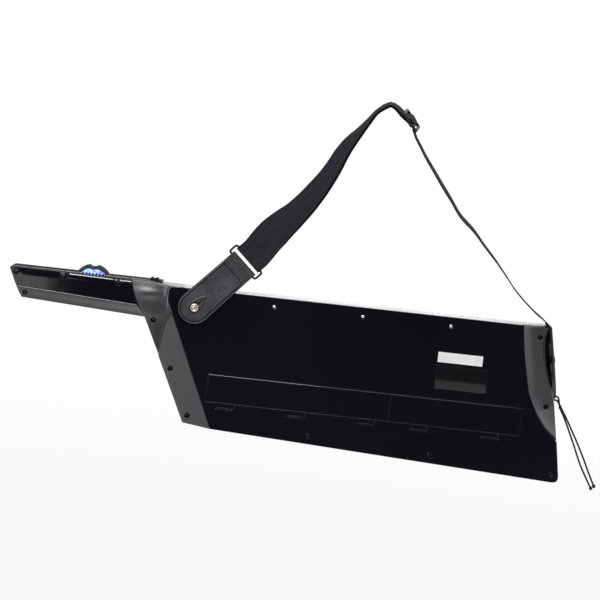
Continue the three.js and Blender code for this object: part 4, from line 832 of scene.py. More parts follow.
def makeCard(name, low, high, brightness):
    card, tree = flatStage(name, low, high)
    tree.nodes.remove(tree.nodes["Principled BSDF"])
    glow = Wire(tree).node("Emission", None, {"Color": (1, 1, 1, 1), "Strength": brightness})
    tree.links.new(glow.socket, tree.nodes["Material Output"].inputs["Surface"])
    card.visible_camera = card.visible_diffuse = card.visible_shadow = False
    card.visible_transmission = card.visible_volume_scatter = False


# The floor keeps the shadow near the instrument and fades to white farther out
def makeFloor():
    half, z, grey = stage["floorHalf"], stage["floorZ"], stage["floorGrey"]
    _, tree = flatStage("floor", (-half, -half, z), (half, half, z))
    shader = tree.nodes["Principled BSDF"]
    shader.inputs["Base Color"].default_value = (grey, grey, grey, 1)
    shader.inputs["Roughness"].default_value = 0.7
    shader.inputs["Specular IOR Level"].default_value = 0.1
    place = Wire(tree).node("TexCoord", None, None, "Object")
    far = place.node("VectorMath", {"operation": "LENGTH"}, {0: place}, 1)
    glow = place.node("Emission", None, {"Color": (1, 1, 1, 1), "Strength": 1.0})
    lit = far.smooth(*stage["floorGlow"]) * raySeen(tree)
    mixed = place.node("MixShader", None, {0: lit, 1: Wire(tree, shader.outputs[0]), 2: glow})
    tree.links.new(mixed.socket, tree.nodes["Material Output"].inputs["Surface"])


def makeWorld():
    world = bpy.data.worlds.new("studio")
    bpy.context.scene.world = world
    world.use_nodes = True
    sky = world.node_tree
    background = sky.nodes["Background"]
    background.inputs["Color"].default_value = (1, 1, 1, 1)
    strength = raySeen(sky) * (1 - stage["ambient"]) + stage["ambient"]
    sky.links.new(strength.socket, background.inputs["Strength"])


def makeLamp(name, place, target, size, power):
    lamp = bpy.data.lights.new(name, "AREA")
    lamp.shape = "DISK"
    lamp.size = size
    lamp.energy = power
    holder = addObject(name, lamp)
    holder.location = place
    holder.rotation_euler = (Vector(target) - Vector(place)).to_track_quat("-Z", "Y").to_euler()


makeFloor()
makeWorld()
for lampRow in stage["lamps"]:
    makeLamp(*lampRow)
for cardRow in stage["cards"]:
    makeCard(*cardRow)
bpy.context.scene.view_settings.view_transform = "Standard"
print("stage set")

# Casing, neck and keys with rounded edges: CAD node, piece, rounding in millimetres, finish, slot,
# and steps across the rounding
softPieces = [
    ("front_shell", "casing_front", 0.8, whitePlastic, "white_plastic", 3),
    ("rear_cover", "casing_back_plate", 0.8, glossBlack, "black_gloss", 2),
    ("neck_front", "neck_front_moulding", 0.8, satinBlack, "black_matte", 3),
    ("door_left", "lid_left_cover", 0.9, glossBlack, "black_gloss", 2),
    ("door_right", "lid_right_cover", 0.9, glossBlack, "black_gloss", 2),
    ("neck_rocker", "neck_rocker_cap", 0.4, satinBlack, "black_matte", 3),
    ("pad_mat", "pad_mat_sheet", 0.5, rubber, "soft_rubber", 3),
    ("strap_slider", "strap_slider_plate", 0.7, satinBlack, "black_matte", 3),
]
for node in sorted(frame["nodes"]):
    if node.startswith("key_") and node.endswith("white"):
        softPieces.append((node, node + "_cap", 0.6, keyWhite, "key_white", 3))
    elif node.startswith("key_") and node.endswith("black"):
        softPieces.append((node, node + "_cap", 0.7, keyBlack, "key_black", 3))
for softRow in softPieces:
    softened(*softRow)
frame["nodes"]["key_frame"].data.materials[0] = brightSteel
frame["nodes"]["main_board"].data.materials[0] = boardGreen
print("mouldings softened")

# Places on the drawing, in millimetres from the heel
heel, slantTop = (0, 0), (-74.9, 159.1)
plateFoot, plateHead, plateBulge = (45.3, -4.5), (-37.2, 183.3), (-43.1, 196)
neckTop, bodyTop = 217, 213
capFoot, endTop, capTop = (586.3, 35.6), (551, bodyTop), (512.3, bodyTop)
lowRight = (597.5, -30.2)
flare = [
    (slantTop[0] - 26.7 * out, slantTop[1] + (neckTop - slantTop[1]) * up)
    for out, up in ((1, 1), (0.734, 0.665), (0.494, 0.361), (0.24, 0.171))
]
deepRim = [(0, 1.2), (0.25, 0.35), (0.7, 0)]
shallowRim = [(0, 1.0), (0.25, 0.3), (0.6, 0)]


# Height of the line from a to b at x
def heightOn(a, b, x):
    return onLine(a[::-1], b[::-1], x)


# The same depth at every place
def level(depth):
    return lambda x, z: depth


# A thin pale bead along an edge: a painted highlight
def addHighlightBead(name, path, radius):
    addPiece(name, sweepRound(path, radius, 8), seamGrey, "charcoal_matte", angle=50)


# Collar: falls from the plate to its outer edge, with a curved crease and a soft bulge by the neck
collar = {
    "proud": 1.5,
    "edge": 5.0,
    "rootEdge": 1.5,
    "creaseDepth": 5.6,
    "creaseRun": 26.0,
    "creaseEdge": 0.7,
    "creaseLines": (0.8, 1.9, 4.2, 7.0),
    "creaseMarks": [(-38, 160.5), (-42.3, 147), (-44.5, 133), (-45.8, 119.5), (-46.8, 108)],
    "bulge": 3.2,
    "bulgePlace": (-76, 198),
    "bulgeSize": (27.0, 9.0),
    "topRoll": 0.9,
    "rim": [(0.15, 1.3), (0.3, 0.6), (0.7, 0.16), (1.3, 0)],
    "screwShares": (0.9825, 0.528, 0.078),
    "screwInset": 12.4,
    "holeRadius": 4.2,
    "step": 2.6,
    "seamDepth": 0.15,
}
creaseA, creaseB = share(plateFoot, plateHead, 0.94), share(heel, slantTop, 0.63)
crease = curveThrough([creaseA, *collar["creaseMarks"], creaseB])
collarScrews = [
    (x + collar["screwInset"], z)
    for x, z in (share(heel, slantTop, part) for part in collar["screwShares"])
]


def collarFace(x, z):
    edgeX = flare[0][0] if z > slantTop[1] else onLine(heel, slantTop, z)
    for a, b in zip(flare, [*flare[1:], slantTop]):
        if z > slantTop[1] and b[1] <= z <= a[1]:
            edgeX = onLine(a, b, z)
    innerX = plateBulge[0]
    if z <= plateBulge[1]:
        innerX = onLine(plateFoot, plateHead, min(z, plateHead[1]))
    inward = clamp((x - edgeX) / (innerX - edgeX))
    edgeY = collar["edge"] + (collar["rootEdge"] - collar["edge"]) * ease(z, 150, 178)
    depth = edgeY + (-collar["proud"] - edgeY) * inward
    away = signedTo((x, z), crease)
    if away > 0:
        scoop = math.exp(-away / collar["creaseRun"]) * (1 - math.exp(-away / collar["creaseEdge"]))
        depth += collar["creaseDepth"] * scoop * ease(1 - inward, 0, 0.12)
    (bulgeX, bulgeZ), (wide, tall) = collar["bulgePlace"], collar["bulgeSize"]
    fromBulge = ((x - bulgeX) / wide) ** 2 + ((z - bulgeZ) / tall) ** 2
    depth -= collar["bulge"] * math.exp(-fromBulge)
    return depth + collar["topRoll"] * clamp((z - 209) / 8) ** 2 * ease(x, -40, -60)


def makeCollar():
    corner = roundedLoop([(-43.1, 190), (-43.1, bodyTop, 9), (-20, bodyTop)], 6)[1:-1]
    outline = [heel, plateFoot, creaseA, plateHead, plateBulge, *corner, (-43.1, bodyTop + 0.1)]
    outline += [(-69.1, neckTop), *flare, slantTop, creaseB]
    holes = [circle(x, z, collar["holeRadius"]) for x, z in collarScrews]
    lines = [crease[1:-1]]
    for away in collar["creaseLines"]:
        row = []
        for a, b, c in zip(crease, crease[1:], crease[2:]):
            forward = (Vector(c) - Vector(a)).normalized()
            place = (b[0] + forward.y * away, b[1] - forward.x * away)
            if isInside(place, outline) and toEdge(place, outline) > 2.4:
                row.append(place)
        lines.append(row)
    shape = reliefPlate(
        outline, holes, collar["rim"], collarFace, collar["step"], level(14), lines, deepRim)
    addPiece("casing_collar", shape, charcoal, "charcoal_matte", node="collar", angle=14)
    # A pale bead along the seam round the plate's corner: a painted highlight on the collar's edge
    seamTop = bodyTop - 0.4
    bend = roundedLoop([(-42.0, 190), (-42.0, seamTop, 9), (-20, seamTop)], 8)[1:-1]
    seam = [(-40.9, 180), (-41.6, 190), *bend, (-24, seamTop)]
    addHighlightBead("casing_collar_seam", [at(x, collar["seamDepth"], z) for x, z in seam], 0.0006)


makeCollar()

# End cap: a crescent band, a facet and a dish where the strap's tab lies
cap = {
    "proud": 3.0,
    "bandWidth": 17.0,
    "bandEase": 8.0,
    "bandSlope": 0.33,
    "dishDepth": 10.5,
    "rim": [(0.15, 1.1), (0.3, 0.5), (0.7, 0.12), (1.3, 0)],
    "step": 2.6,
    "foldPlace": (548.0, 78.0),
    "foldSlant": 0.55,
    "foldRun": 40.0,
    "foldDepth": 3.2,
    "crescent": ((0.01, 0.96), (0.092, 0.745), (0.283, 0.406), (0.456, 0.261), (0.713, 0.097)),
    "dish": ((0.375, 0.187), (0.84, 0.415), (1.25, 0.77), (1.25, 0.9)),
    "liningRim": [(0, 0.2), (0.3, 0.05), (0.8, 0)],
    "liningFace": 0.2,
    "liningBack": 0.6,
    "holeRadius": 4.0,
}
crescentMarks = [
    (capTop[0] + (capFoot[0] - capTop[0]) * a, capFoot[1] + (capTop[1] - capFoot[1]) * b)
    for a, b in cap["crescent"]
]
crescentLine = curveThrough([capTop, *crescentMarks, capFoot])
dishFoot, dishMiddle = share(endTop, capFoot, 0.68), share(endTop, capFoot, 0.45)
dishMarks = [
    (dishFoot[0] + (endTop[0] - dishFoot[0]) * a, dishFoot[1] + (endTop[1] - dishFoot[1]) * b)
    for a, b in cap["dish"]
]
dishLine = curveThrough([dishFoot, *dishMarks, endTop])
lowCapScrew = share(endTop, capFoot, 0.695)
capScrews = [(539.8, 197), (lowCapScrew[0] - 13.5, lowCapScrew[1])]


def capFace(x, z):
    depth = -cap["proud"]
    left, run = cap["bandWidth"] - toLine((x, z), crescentLine), cap["bandEase"]
    if left > 0:
        depth += cap["bandSlope"] * (left - run / 2 if left > run else left * left / 2 / run)
    foldX, foldZ = cap["foldPlace"]
    fold = (foldZ - z) + (x - foldX) * cap["foldSlant"]
    depth += clamp(fold / cap["foldRun"]) * cap["foldDepth"]
    if isInside((x, z), dishLine):
        rimAway, edgeAway = toLine((x, z), dishLine), toLine((x, z), [dishFoot, endTop])
        along = clamp((endTop[1] - z) / (endTop[1] - dishFoot[1]))
        deep = cap["dishDepth"] * math.sin(math.pi * along) ** 0.7
        depth += deep * ease(rimAway / (rimAway + edgeAway + 1e-6))
    return depth


def makeCap():
    outline = crescentLine[:-1] + [capFoot, dishFoot, dishMiddle, endTop]
    holes = [circle(x, z, cap["holeRadius"]) for x, z in capScrews]
    shape = reliefPlate(
        outline, holes, cap["rim"], capFace, cap["step"], level(14), [dishLine[1:-1]], deepRim)
    addPiece("casing_end_cap", shape, slate, "slate_matte", node="end_cap", angle=16)


# A sheet in the casing's gloss black lies over the dish: painted shade of the recess
def makeDishShadeSheet():
    shape = reliefPlate(
        insetLoop(dishLine, 0.25), [], cap["liningRim"],
        lambda x, z: capFace(x, z) - cap["liningFace"], cap["step"],
        lambda x, z: capFace(x, z) + cap["liningBack"],
    )
    addPiece("end_dish_lining", shape, glossBlack, "black_gloss", angle=30)


makeCap()
makeDishShadeSheet()

# Neck back: glossy, with a slanted facet along its top edge and a low ridge below it
neckBack = {
    "facet": 6.0,
    "fall": 0.8,
    "ridge": 1.3,
    "ridgeHalf": 3.0,
    "ridgeZ": 213.6,
    "ridgeSlant": -0.015,
    "ridgeRows": (-4.4, -2.8, -1.4, 0, 1.2, 2.2),
    "ridgeRuns": ((-215, -206), (-206, -120), (-120, -88)),
    "rim": [(0.15, 0.9), (0.35, 0.4), (0.8, 0)],
    "step": 5.0,
    "holeRadius": 4.0,
    "beadX": (-286.5, -240, -180, -120, -73),
    "beadRadii": [0.0004, 0.0006, 0.0006, 0.0006, 0.0004],
}
splitTip, splitRoot = (-278.4, 188.3), (-87.1, 178.4)
neckScrews = [(x, 209.4) for x in (-279.96, -205.93, -120.44)]


def ridgeLevel(x):
    return neckBack["ridgeZ"] + (x + 150) * neckBack["ridgeSlant"]


def neckFace(x, z):
    fall = neckBack["fall"] * clamp(1 - (neckTop - z) / neckBack["facet"]) * ease(x, -285, -260)
    along = ease(x, -212, -202) * ease(-x, 92, 100)
    fromRidge = ((z - ridgeLevel(x)) / neckBack["ridgeHalf"]) ** 2
    return fall - neckBack["ridge"] * along * math.exp(-fromRidge)


def makeNeckBack():
    outline = [splitTip, splitRoot, flare[2], flare[1], flare[0]]
    outline += roundedLoop([(-120, neckTop), (-291.5, neckTop, 3), splitTip], 5)[1:-1]
    holes = [circle(x, z, neckBack["holeRadius"]) for x, z in neckScrews]
    marks = [x for x in range(-214, -88, 3) if all(abs(x - place[0]) > 8 for place in neckScrews)]
    ridgeLines = []
    for low, high in neckBack["ridgeRuns"]:
        run = [x for x in marks if low < x < high]
        if len(run) > 1:
            ridgeLines += [[(x, ridgeLevel(x) + up) for x in run] for up in neckBack["ridgeRows"]]
    shape = reliefPlate(
        outline, holes, neckBack["rim"], neckFace, neckBack["step"], level(13.8), ridgeLines,
        shallowRim,
    )
    addPiece("neck_back_plate", shape, glossBlack, "black_gloss", node="neck_back", angle=18)
    # A pale bead along the neck's top edge: a painted highlight
    addHighlightBead(
        "neck_top_bead", [at(x, 13.6, neckTop - 0.1) for x in neckBack["beadX"]],
        neckBack["beadRadii"],
    )


makeNeckBack()

# Grip: a matte strip that rolls in towards the front along the neck's underside
grip = {
    "roll": 10.4,
    "power": 1.7,
    "rim": [(0.15, 1.0), (0.35, 0.4), (0.9, 0.1), (1.6, 0)],
    "step": 4.0,
    "holeRadius": 4.0,
}
neckLow, gripScrew = (-269.5, 169), (-264, 178)


def gripFace(x, z):
    high, low = heightOn(splitTip, splitRoot, x), heightOn(neckLow, slantTop, x)
    return 0.2 + grip["roll"] * clamp((high - z) / (high - low)) ** grip["power"]


def makeGrip():
    outline = [neckLow, slantTop, flare[3], splitRoot, splitTip]
    shape = reliefPlate(
        outline, [circle(*gripScrew, grip["holeRadius"])], grip["rim"], gripFace, grip["step"],
        level(14), [], shallowRim,
    )
    addPiece("neck_grip_moulding", shape, charcoal, "charcoal_matte", node="neck_grip", angle=25)


makeGrip()
print("collar, end cap, neck back and grip made")

# Latch lips: a rounded bar along the lower edge of each latch, with a slanted one at its end.
# Each lid lists its ends and where its latches sit between them.
latches = {
    "length": 26.0,
    "lowZ": 30.9,
    "depth": 1.0,
    "riser": (3.0, 7.0),
    "radius": 0.95,
    "lids": {
        "left": (33.6, 319.8, (0.11, 0.5, 0.88)),
        "right": (320.2, 526.2, (0.235, 0.775)),
    },
}


def makeLatchLips(side, lowX, highX, places):
    lowZ, (over, up) = latches["lowZ"], latches["riser"]
    radii = [latches["radius"] * part / 1000 for part in (0.5, 1, 1, 0.5)]
    bars = []
    for place in places:
        middle = lowX + (highX - lowX) * place
        ends = [middle + latches["length"] * part for part in (-0.5, -0.46, 0.46, 0.5)]
        bar = [(x, lowZ) for x in ends]
        riser = [(ends[2] + over * part, lowZ + up * part) for part in (0, 0.2, 0.85, 1)]
        for line in (bar, riser):
            bars.append(sweepRound([at(x, latches["depth"], z) for x, z in line], radii, 14))
    name = "lid_" + side
    addPiece(
        name + "_latch_lips", joined(*bars), satinBlack, "black_gloss", name, angle=50)


for side, lidRow in latches["lids"].items():
    makeLatchLips(side, *lidRow)

# Screws: the three upper ones bright, the others dark and deep in their recesses. The depths are
# those of the screws' rims.
screws = {
    "radius": 3.6,
    "dome": 1.3,
    "cross": 0.62,
    "crossReach": 2.0,
    "crossDepth": 0.9,
    "skirt": 0.0012,
    "cells": 16,
    "topDepth": 2.6,
    "lowDepth": 3.3,
    "capDepth": 3.2,
    "collarSink": 4.6,
    "gripSink": 4.2,
}


# A square grid bent to a round dome, with a cross pressed into it
def screwHead():
    cells, radius = screws["cells"], screws["radius"]
    places, faces = [], []
    for i in range(cells + 1):
        for k in range(cells + 1):
            x, z = 2 * i / cells - 1, 2 * k / cells - 1
            fx, fz = x * math.sqrt(1 - z * z / 2), z * math.sqrt(1 - x * x / 2)
            height = screws["dome"] * math.sqrt(max(0, 1 - (fx * fx + fz * fz) * 0.92))
            near, far = sorted((abs(fx) * radius, abs(fz) * radius))
            if near < screws["cross"] and far < screws["crossReach"]:
                height -= screws["crossDepth"]
            places.append(Vector((fx * radius, -height, fz * radius)) / 1000)
    row = cells + 1
    for i in range(cells):
        for k in range(cells):
            low, high = i * row + k, (i + 1) * row + k
            faces.append((low, low + 1, high + 1, high))
    rim = [i * row for i in range(row)] + [cells * row + k for k in range(1, row)]
    rim += [i * row + cells for i in range(cells - 1, -1, -1)] + list(range(cells - 1, 0, -1))
    first, count = len(places), len(rim)
    places += [places[i] + Vector((0, screws["skirt"], 0)) for i in rim]
    for k in range(count):
        n = (k + 1) % count
        faces.append((rim[k], rim[n], first + n, first + k))
    faces.append(tuple(first + k for k in reversed(range(count))))
    return places, faces


def placeScrews():
    top = [(plateBulge[0] + 594.1 * part, 198.3) for part in (0.282, 0.515, 0.747)]
    low = [(x, z + 13) for x, z in (share(plateFoot, lowRight, p) for p in (0.276, 0.624, 0.974))]
    # These screws' near-black steel is partly painted shade of their recesses
    dark = [(x, screws["lowDepth"], z) for x, z in low + neckScrews]
    dark += [(x, collarFace(x, z) + screws["collarSink"], z) for x, z in collarScrews]
    dark += [(x, screws["capDepth"], z) for x, z in capScrews]
    dark.append((gripScrew[0], gripFace(*gripScrew) + screws["gripSink"], gripScrew[1]))
    bright = [at(x, screws["topDepth"], z) for x, z in top]
    repeated("screws_bright", [bright], screwHead(), brightSteel, "bright_steel", size=0.72, seed=3)
    repeated(
        "screws_dark", [[at(*place) for place in dark]], screwHead(), darkSteel, "black_matte",
        seed=8,
    )


placeScrews()
print("screws placed")

# Labels: a blank paper strip and a blank dark plate, each with its corners and their radius
labels = [
    ("label_paper_blank", (386, 141), (456, 157), 0.8, labelPaper, "white_plastic"),
    ("label_dark_blank", (385, 99), (467, 137), 1.6, labelFoil, "black_matte"),
]
for name, (lowX, lowZ), (highX, highZ), corner, material, slot in labels:
    loop = [(x, z, corner) for x, z in ((lowX, lowZ), (highX, lowZ), (highX, highZ), (lowX, highZ))]
    shape = reliefPlate(
        roundedLoop(loop, 4), [], [(0, 0.05), (0.1, 0.0)], level(-0.12), 0, level(0.02))
    addPiece(name, shape, material, slot)

# Leather tabs, in their own frames: u across, v along, and the depth out of the casing. A keyhole
# lists its radius, then half the width, the foot and the top of its slot.
tab = {
    "thick": 3.2,
    "width": 49.0,
    "rim": [
        (0, 1.9), (0.3, 1.2), (1.0, 0.55), (2.0, 0.1), (2.8, -0.1), (3.4, 0.7), (4.4, 0.7), (5.2, 0),
    ],
    "keyhole": (4.3, 0.8, 4.2, 22),
    "stand": 3.4,
    "lift": 2.6,
    "swell": 0.25,
    "leafWidth": 7.6,
    "leafTip": 25.0,
    "leafFoot": -8.0,
    "leafSteps": 10,
    "leafRows": (-1.4, 0, 1.6),
    "ridge": 0.8,
    "ridgeHalf": 1.1,
    "sink": 0.9,
    "step": 2.6,
    "loopRadius": 4.2,
    "loopHalf": 1.55,
    "rightStand": 2.5,
    "rightStep": 3.12,
    "laceHole": (0, -57, 2.4),
    "leafThread": 0.55,
    "borderThread": 0.4,
    "borderInset": 3.6,
    "stitch": (2.2, 0.42),
    "stitchPitch": 3.1,
    "stitchRows": (74.5, 77.5),
}
tabTurn = math.radians(47.7 - 90)
tabUp = Vector((-math.sin(tabTurn), 0, math.cos(tabTurn)))
tabAcross = Vector((math.cos(tabTurn), 0, math.sin(tabTurn)))
leftPlace, leatherLength, ringMiddle = Vector((1.5, 0, 184.9)), 99.2, -5.0
endDown = Vector((capFoot[0] - endTop[0], 0, capFoot[1] - endTop[1])).normalized()
endOut = Vector((-endDown.z, 0, endDown.x))
endX, endZ = share(endTop, capFoot, 0.3)
endPlace = Vector((endX, 22, endZ))


def onLeft(u, depth, v):
    place = leftPlace + tabAcross * u + tabUp * v
    return at(place.x, depth, place.z)


def onEnd(u, depth, v):
    return at(*(endPlace + Vector((0, -1, 0)) * u - endOut * depth - endDown * v))


def tabOutline(radius, below, above):
    turns, half = [math.pi * k / 22 for k in range(23)], tab["width"] / 2
    loop = [(-radius * math.cos(turn), -below * math.sin(turn)) for turn in turns]
    return loop + [(half, above), (-half, above)]


def keyhole():
    radius, half, foot, top = tab["keyhole"]
    turns = [math.pi * k / 12 for k in range(11, 26)]
    loop = [(radius * math.cos(turn), radius * math.sin(turn)) for turn in turns]
    return loop + [(half, foot), (half, top), (-half, top), (-half, foot)]


def leafLoop():
    foot, tip, steps = tab["leafFoot"], tab["leafTip"], tab["leafSteps"]
    loop = []
    for k in range(steps):
        t = k / steps
        half = tab["leafWidth"] * math.sin(math.pi * (0.12 + 0.88 * t) ** 0.62) ** 0.85
        loop.append((half, foot + (tip - foot) * t))
    return [*loop, (0.0, tip)] + [(-u, v) for u, v in reversed(loop)]


leafShape = leafLoop()


# The outer face: lifted to the loop at its upper end, with a ridge round the leaf-shaped slot
def leftTabFace(u, v):
    fromLeaf = toEdge((u, v), leafShape) if abs(u) < 12 and -12 < v < 34 else 20
    depth = -tab["stand"] - tab["thick"] - tab["lift"] * ease(v, 80, 94)
    depth -= tab["ridge"] * math.exp(-(fromLeaf / tab["ridgeHalf"]) ** 2)
    if isInside((u, v), leafShape):
        depth += tab["sink"] * ease(fromLeaf, 0.6, 2.4)
    return depth + tab["swell"] * math.cos(u / 7) * ease(v, 20, 60)


def leftTabBack(u, v):
    return -tab["stand"] - 0.6 * ease(v, 80, 94)


# The loop round the ring's bar: a strip of the same thickness
def tabStrip():
    radius, half = tab["loopRadius"], tab["loopHalf"]
    middle = [(-6.9, 86), (-7.9, 92)]
    for turn in [math.pi * k / 12 for k in range(13)]:
        middle.append(
            (ringMiddle - radius * math.cos(turn), leatherLength + radius * math.sin(turn)))
    middle += [(-2.1, 93), (-3.3, 86), (-3.6, 79)]
    section = [(-1, -0.7), (-0.97, -1), (-0.5, -1), (0, -1), (0.5, -1), (0.97, -1), (1, -0.7)]
    section += [(-u, -w) for u, w in section]
    places = []
    for i, (depth, v) in enumerate(middle):
        before, after = middle[max(i - 1, 0)], middle[min(i + 1, len(middle) - 1)]
        ahead = (Vector(after) - Vector(before)).normalized() * half
        for u, w in section:
            places.append(onLeft(u * tab["width"] / 2, depth - ahead.y * w, v + ahead.x * w))
    return places, tubeFaces(len(middle), len(section))


def makeLeftTab():
    leafLines = [insetLoop(leafShape, away) for away in tab["leafRows"]]
    body = reliefPlate(
        tabOutline(26, 26, 93), [keyhole()], tab["rim"], leftTabFace, tab["step"], leftTabBack,
        leafLines, [(0, 0.5), (0.3, 0.15), (0.6, 0)], onLeft,
    )
    addPiece(
        "strap_tab_left_leather", joined(body, tabStrip()), leather, "dark_leather",
        node="strap_tab_left", angle=30,
    )


def makeRightTab():
    back = -tab["rightStand"]
    shape = reliefPlate(
        tabOutline(24.5, 62, 56), [keyhole(), circle(*tab["laceHole"], 16)], tab["rim"][:4],
        level(back - tab["thick"]), tab["rightStep"], level(back), [],
        [(0, 0.8), (0.3, 0.3), (0.8, 0)], onEnd,
    )
    addPiece(
        "strap_tab_right_leather", shape, leather, "dark_leather", node="strap_tab_right", angle=30)


# The leaf round the slot is bound with a dark thread, and so is the tab's border
def threadLine(name, loop, radius):
    path = [onLeft(u, leftTabFace(u, v) - 0.1, v) for u, v in loop]
    shape = sweepRound(path, radius / 1000, 8, True)
    addPiece(name, shape, threadBlack, "dark_leather", angle=60)


# A stitch, bowed a little towards its ends
def capsule(length, radius):
    path = [Vector((t * length / 2, 0, -0.0002 * t * t)) for t in (-1, -0.8, -0.3, 0.3, 0.8, 1)]
    return sweepRound(path, [radius * part for part in (0.4, 0.9, 1, 1, 0.9, 0.4)], 6)


def makeThreads():
    threadLine("strap_tab_leaf_thread", leafShape, tab["leafThread"])
    border = [(*place, 5) if place[1] > 50 else place for place in tabOutline(26, 26, 84)]
    border = insetLoop(roundedLoop(border, 5), tab["borderInset"])
    threadLine("strap_tab_border_thread", border, tab["borderThread"])
    stitch = capsule(*(part / 1000 for part in tab["stitch"]))
    seams = []
    for v in tab["stitchRows"]:
        seams.append([onLeft(u, leftTabFace(u, v) - 0.15, v) for u in range(-20, 21, 4)])
    repeated(
        "strap_tab_stitches", seams, stitch, threadGrey, "dark_leather",
        pitch=tab["stitchPitch"] / 1000,
    )


makeLeftTab()
makeRightTab()
makeThreads()
print("leather tabs made")

# Strap buttons: turned, with a ringed head and a crossed screw in it. Each lists its place and
# axis, the thickness of its base, the top of its post and the thickness of its head.
button = {
    "head": 6.6, "base": 7.0, "post": 3.7, "sides": 48, "crossHalf": (1.9, 0.4),
    "crossDepth": 0.4, "crossRise": 0.18, "crossTurn": 0.4,
}


def buttonProfile(baseThick, postTop, top):
    base, post, head = button["base"], button["post"], button["head"]
    foot = [
        (0, 0), (base - 0.4, 0), (base, 0.4), (base, baseThick - 0.3), (base - 0.3, baseThick),
        (post + 0.2, baseThick), (post, baseThick + 0.4), (post, postTop - 0.5),
        (post + 0.5, postTop), (head - 0.5, postTop), (head, postTop + 0.5),
    ]
    crown = [
        (head, -1.5), (head - 0.4, -0.8), (head - 1.2, -0.2), (head - 1.9, 0), (4.9, 0),
        (4.65, -0.25), (4.5, -1.7), (3.3, -1.7), (3.2, -0.5), (2.8, -0.2), (1.6, 0.05), (0, 0.1),
    ]
    return foot + [(radius, top + height) for radius, height in crown]


def makeButton(side, place, axis, baseThick, postTop, headThick, metal):
    matrix = Matrix.Translation(place) @ axis.to_track_quat("Z", "Y").to_matrix().to_4x4()
    name, top = "strap_button_" + side, postTop + headThick
    shape = turned(buttonProfile(baseThick, postTop, top), matrix, button["sides"])
    addPiece(name + "_turned", shape, metal, "bright_steel", node=name, angle=38)
    (x, y), sunk, proud = button["crossHalf"], button["crossDepth"], button["crossRise"]
    corners, faces = blockShape((-x, -y, top - sunk), (x, y, top + proud))
    bars = []
    for turn in (button["crossTurn"], button["crossTurn"] + math.pi / 2):
        spin = matrix @ Matrix.Rotation(turn, 4, "Z")
        bars.append(([spin @ (corner / 1000) for corner in corners], faces))
    addPiece(name + "_turned_cross", joined(*bars), darkSteel, "bright_steel")


makeButton("left", at(1.5, -0.3, 184.9), Vector((0, -1, 0)), 2.0, 7.0, 3.6, bronze)
makeButton("right", onEnd(0, -0.3, 0), endOut, 1.4, 6.2, 2.2, darkSteel)

# Ring: a round bar bent to an oblong
ring = {"radius": 1.7, "half": (29.3, 7.4), "corner": 3.6}


def makeRing():
    (w, h), r = ring["half"], ring["corner"]
    loop = spread(roundedLoop([(-w, -h, r), (w, -h, r), (w, h, r), (-w, h, r)], 7), 4)
    path = [onLeft(u, ringMiddle, v + leatherLength + h) for u, v in loop]
    shape = sweepRound(path, ring["radius"] / 1000, 14, True)
    addPiece("strap_ring_bar", shape, satinBlack, "black_matte", node="strap_ring", angle=60)


makeRing()

# Webbing: one belt from the slider down round the ring, back up through the slider and to the far
# tab. leftRoute lists shares of the way across and up to the top, and the turn there as a share
# of a right angle; rightRoute lists the way down, and rightTurn its turns by the way across.
# The stretches at the slider are distances run, from its middle bar on.
web = {
    "width": 50.0,
    "thick": 1.6,
    "layers": 1.2,
    "radius": 3.504,
    "ease": 26.0,
    "straight": 14.0,
    "sliderShare": 0.114,
    "sliderRise": 5.0,
    "riseBefore": (2.5, 13.0),
    "fallAfter": (7.0, 13.6),
    "thinAfter": (36, 72),
    "sewnRise": (-18, -1.5),
    "sewnEnd": 8.5,
    "mouth": 56.0,
    "stand": 2.2,
    "leftRoute": [
        (0.139, 0.136, 0), (0.229, 0.215, 0.3), (0.332, 0.295, 0.481), (0.417, 0.3725, 0.549),
        (0.49, 0.45, 0.602), (0.5546, 0.5265, 0.666), (0.609, 0.6025, 0.708),
        (0.654, 0.677, 0.744), (0.713, 0.753, 0.798), (0.791, 0.831, 0.896),
        (0.8526, 0.895, 0.947), (0.9037, 0.947, 0.97),
    ],
    "rightRoute": [
        (0.014, -0.002), (0.037, 0.007), (0.067, 0.029), (0.098, 0.056), (0.126, 0.085),
        (0.148, 0.12), (0.16, 0.146), (0.187, 0.183), (0.224, 0.23), (0.282, 0.299),
        (0.338, 0.368), (0.397, 0.437), (0.454, 0.507), (0.537, 0.574), (0.605, 0.643),
        (0.676, 0.711), (0.742, 0.781), (0.805, 0.85), (0.858, 0.896), (0.915, 0.941),
    ],
    "rightTurn": [
        (0, 0.945), (0.1, 0.88), (0.16, 0.945), (0.34, 0.93), (0.52, 0.945), (0.68, 0.967),
        (0.86, 0.989), (1, 1),
    ],
}


def endAt(out, up):
    return endPlace + endOut * out - endDown * up


# The value at a place in a table of places and values
def tableValue(rows, place):
    if place <= rows[0][0]:
        return rows[0][1]
    for (lowPlace, low), (highPlace, high) in zip(rows, rows[1:]):
        if place <= highPlace:
            return low + (high - low) * (place - lowPlace) / (highPlace - lowPlace)
    return rows[-1][1]


# The belt's middle line, from the ring over the top to the far tab
def beltRoute(ringTop, mouth):
    points = [ringTop, ringTop + tabUp * web["straight"]]
    rise, fall = strapTop - ringTop, mouth - strapTop
    for across, up, _ in web["leftRoute"]:
        points.append(ringTop + Vector((rise.x * across, rise.y * across, rise.z * up)))
    points.append(strapTop)
    for across, down in web["rightRoute"]:
        points.append(strapTop + Vector((fall.x * across, 0, fall.z * down)))
    points.append(mouth)
    points += [endAt(web["stand"] - 0.8, web["mouth"] - down) for down in (6.5, 13, 26)]
    return catmull(points, 24)


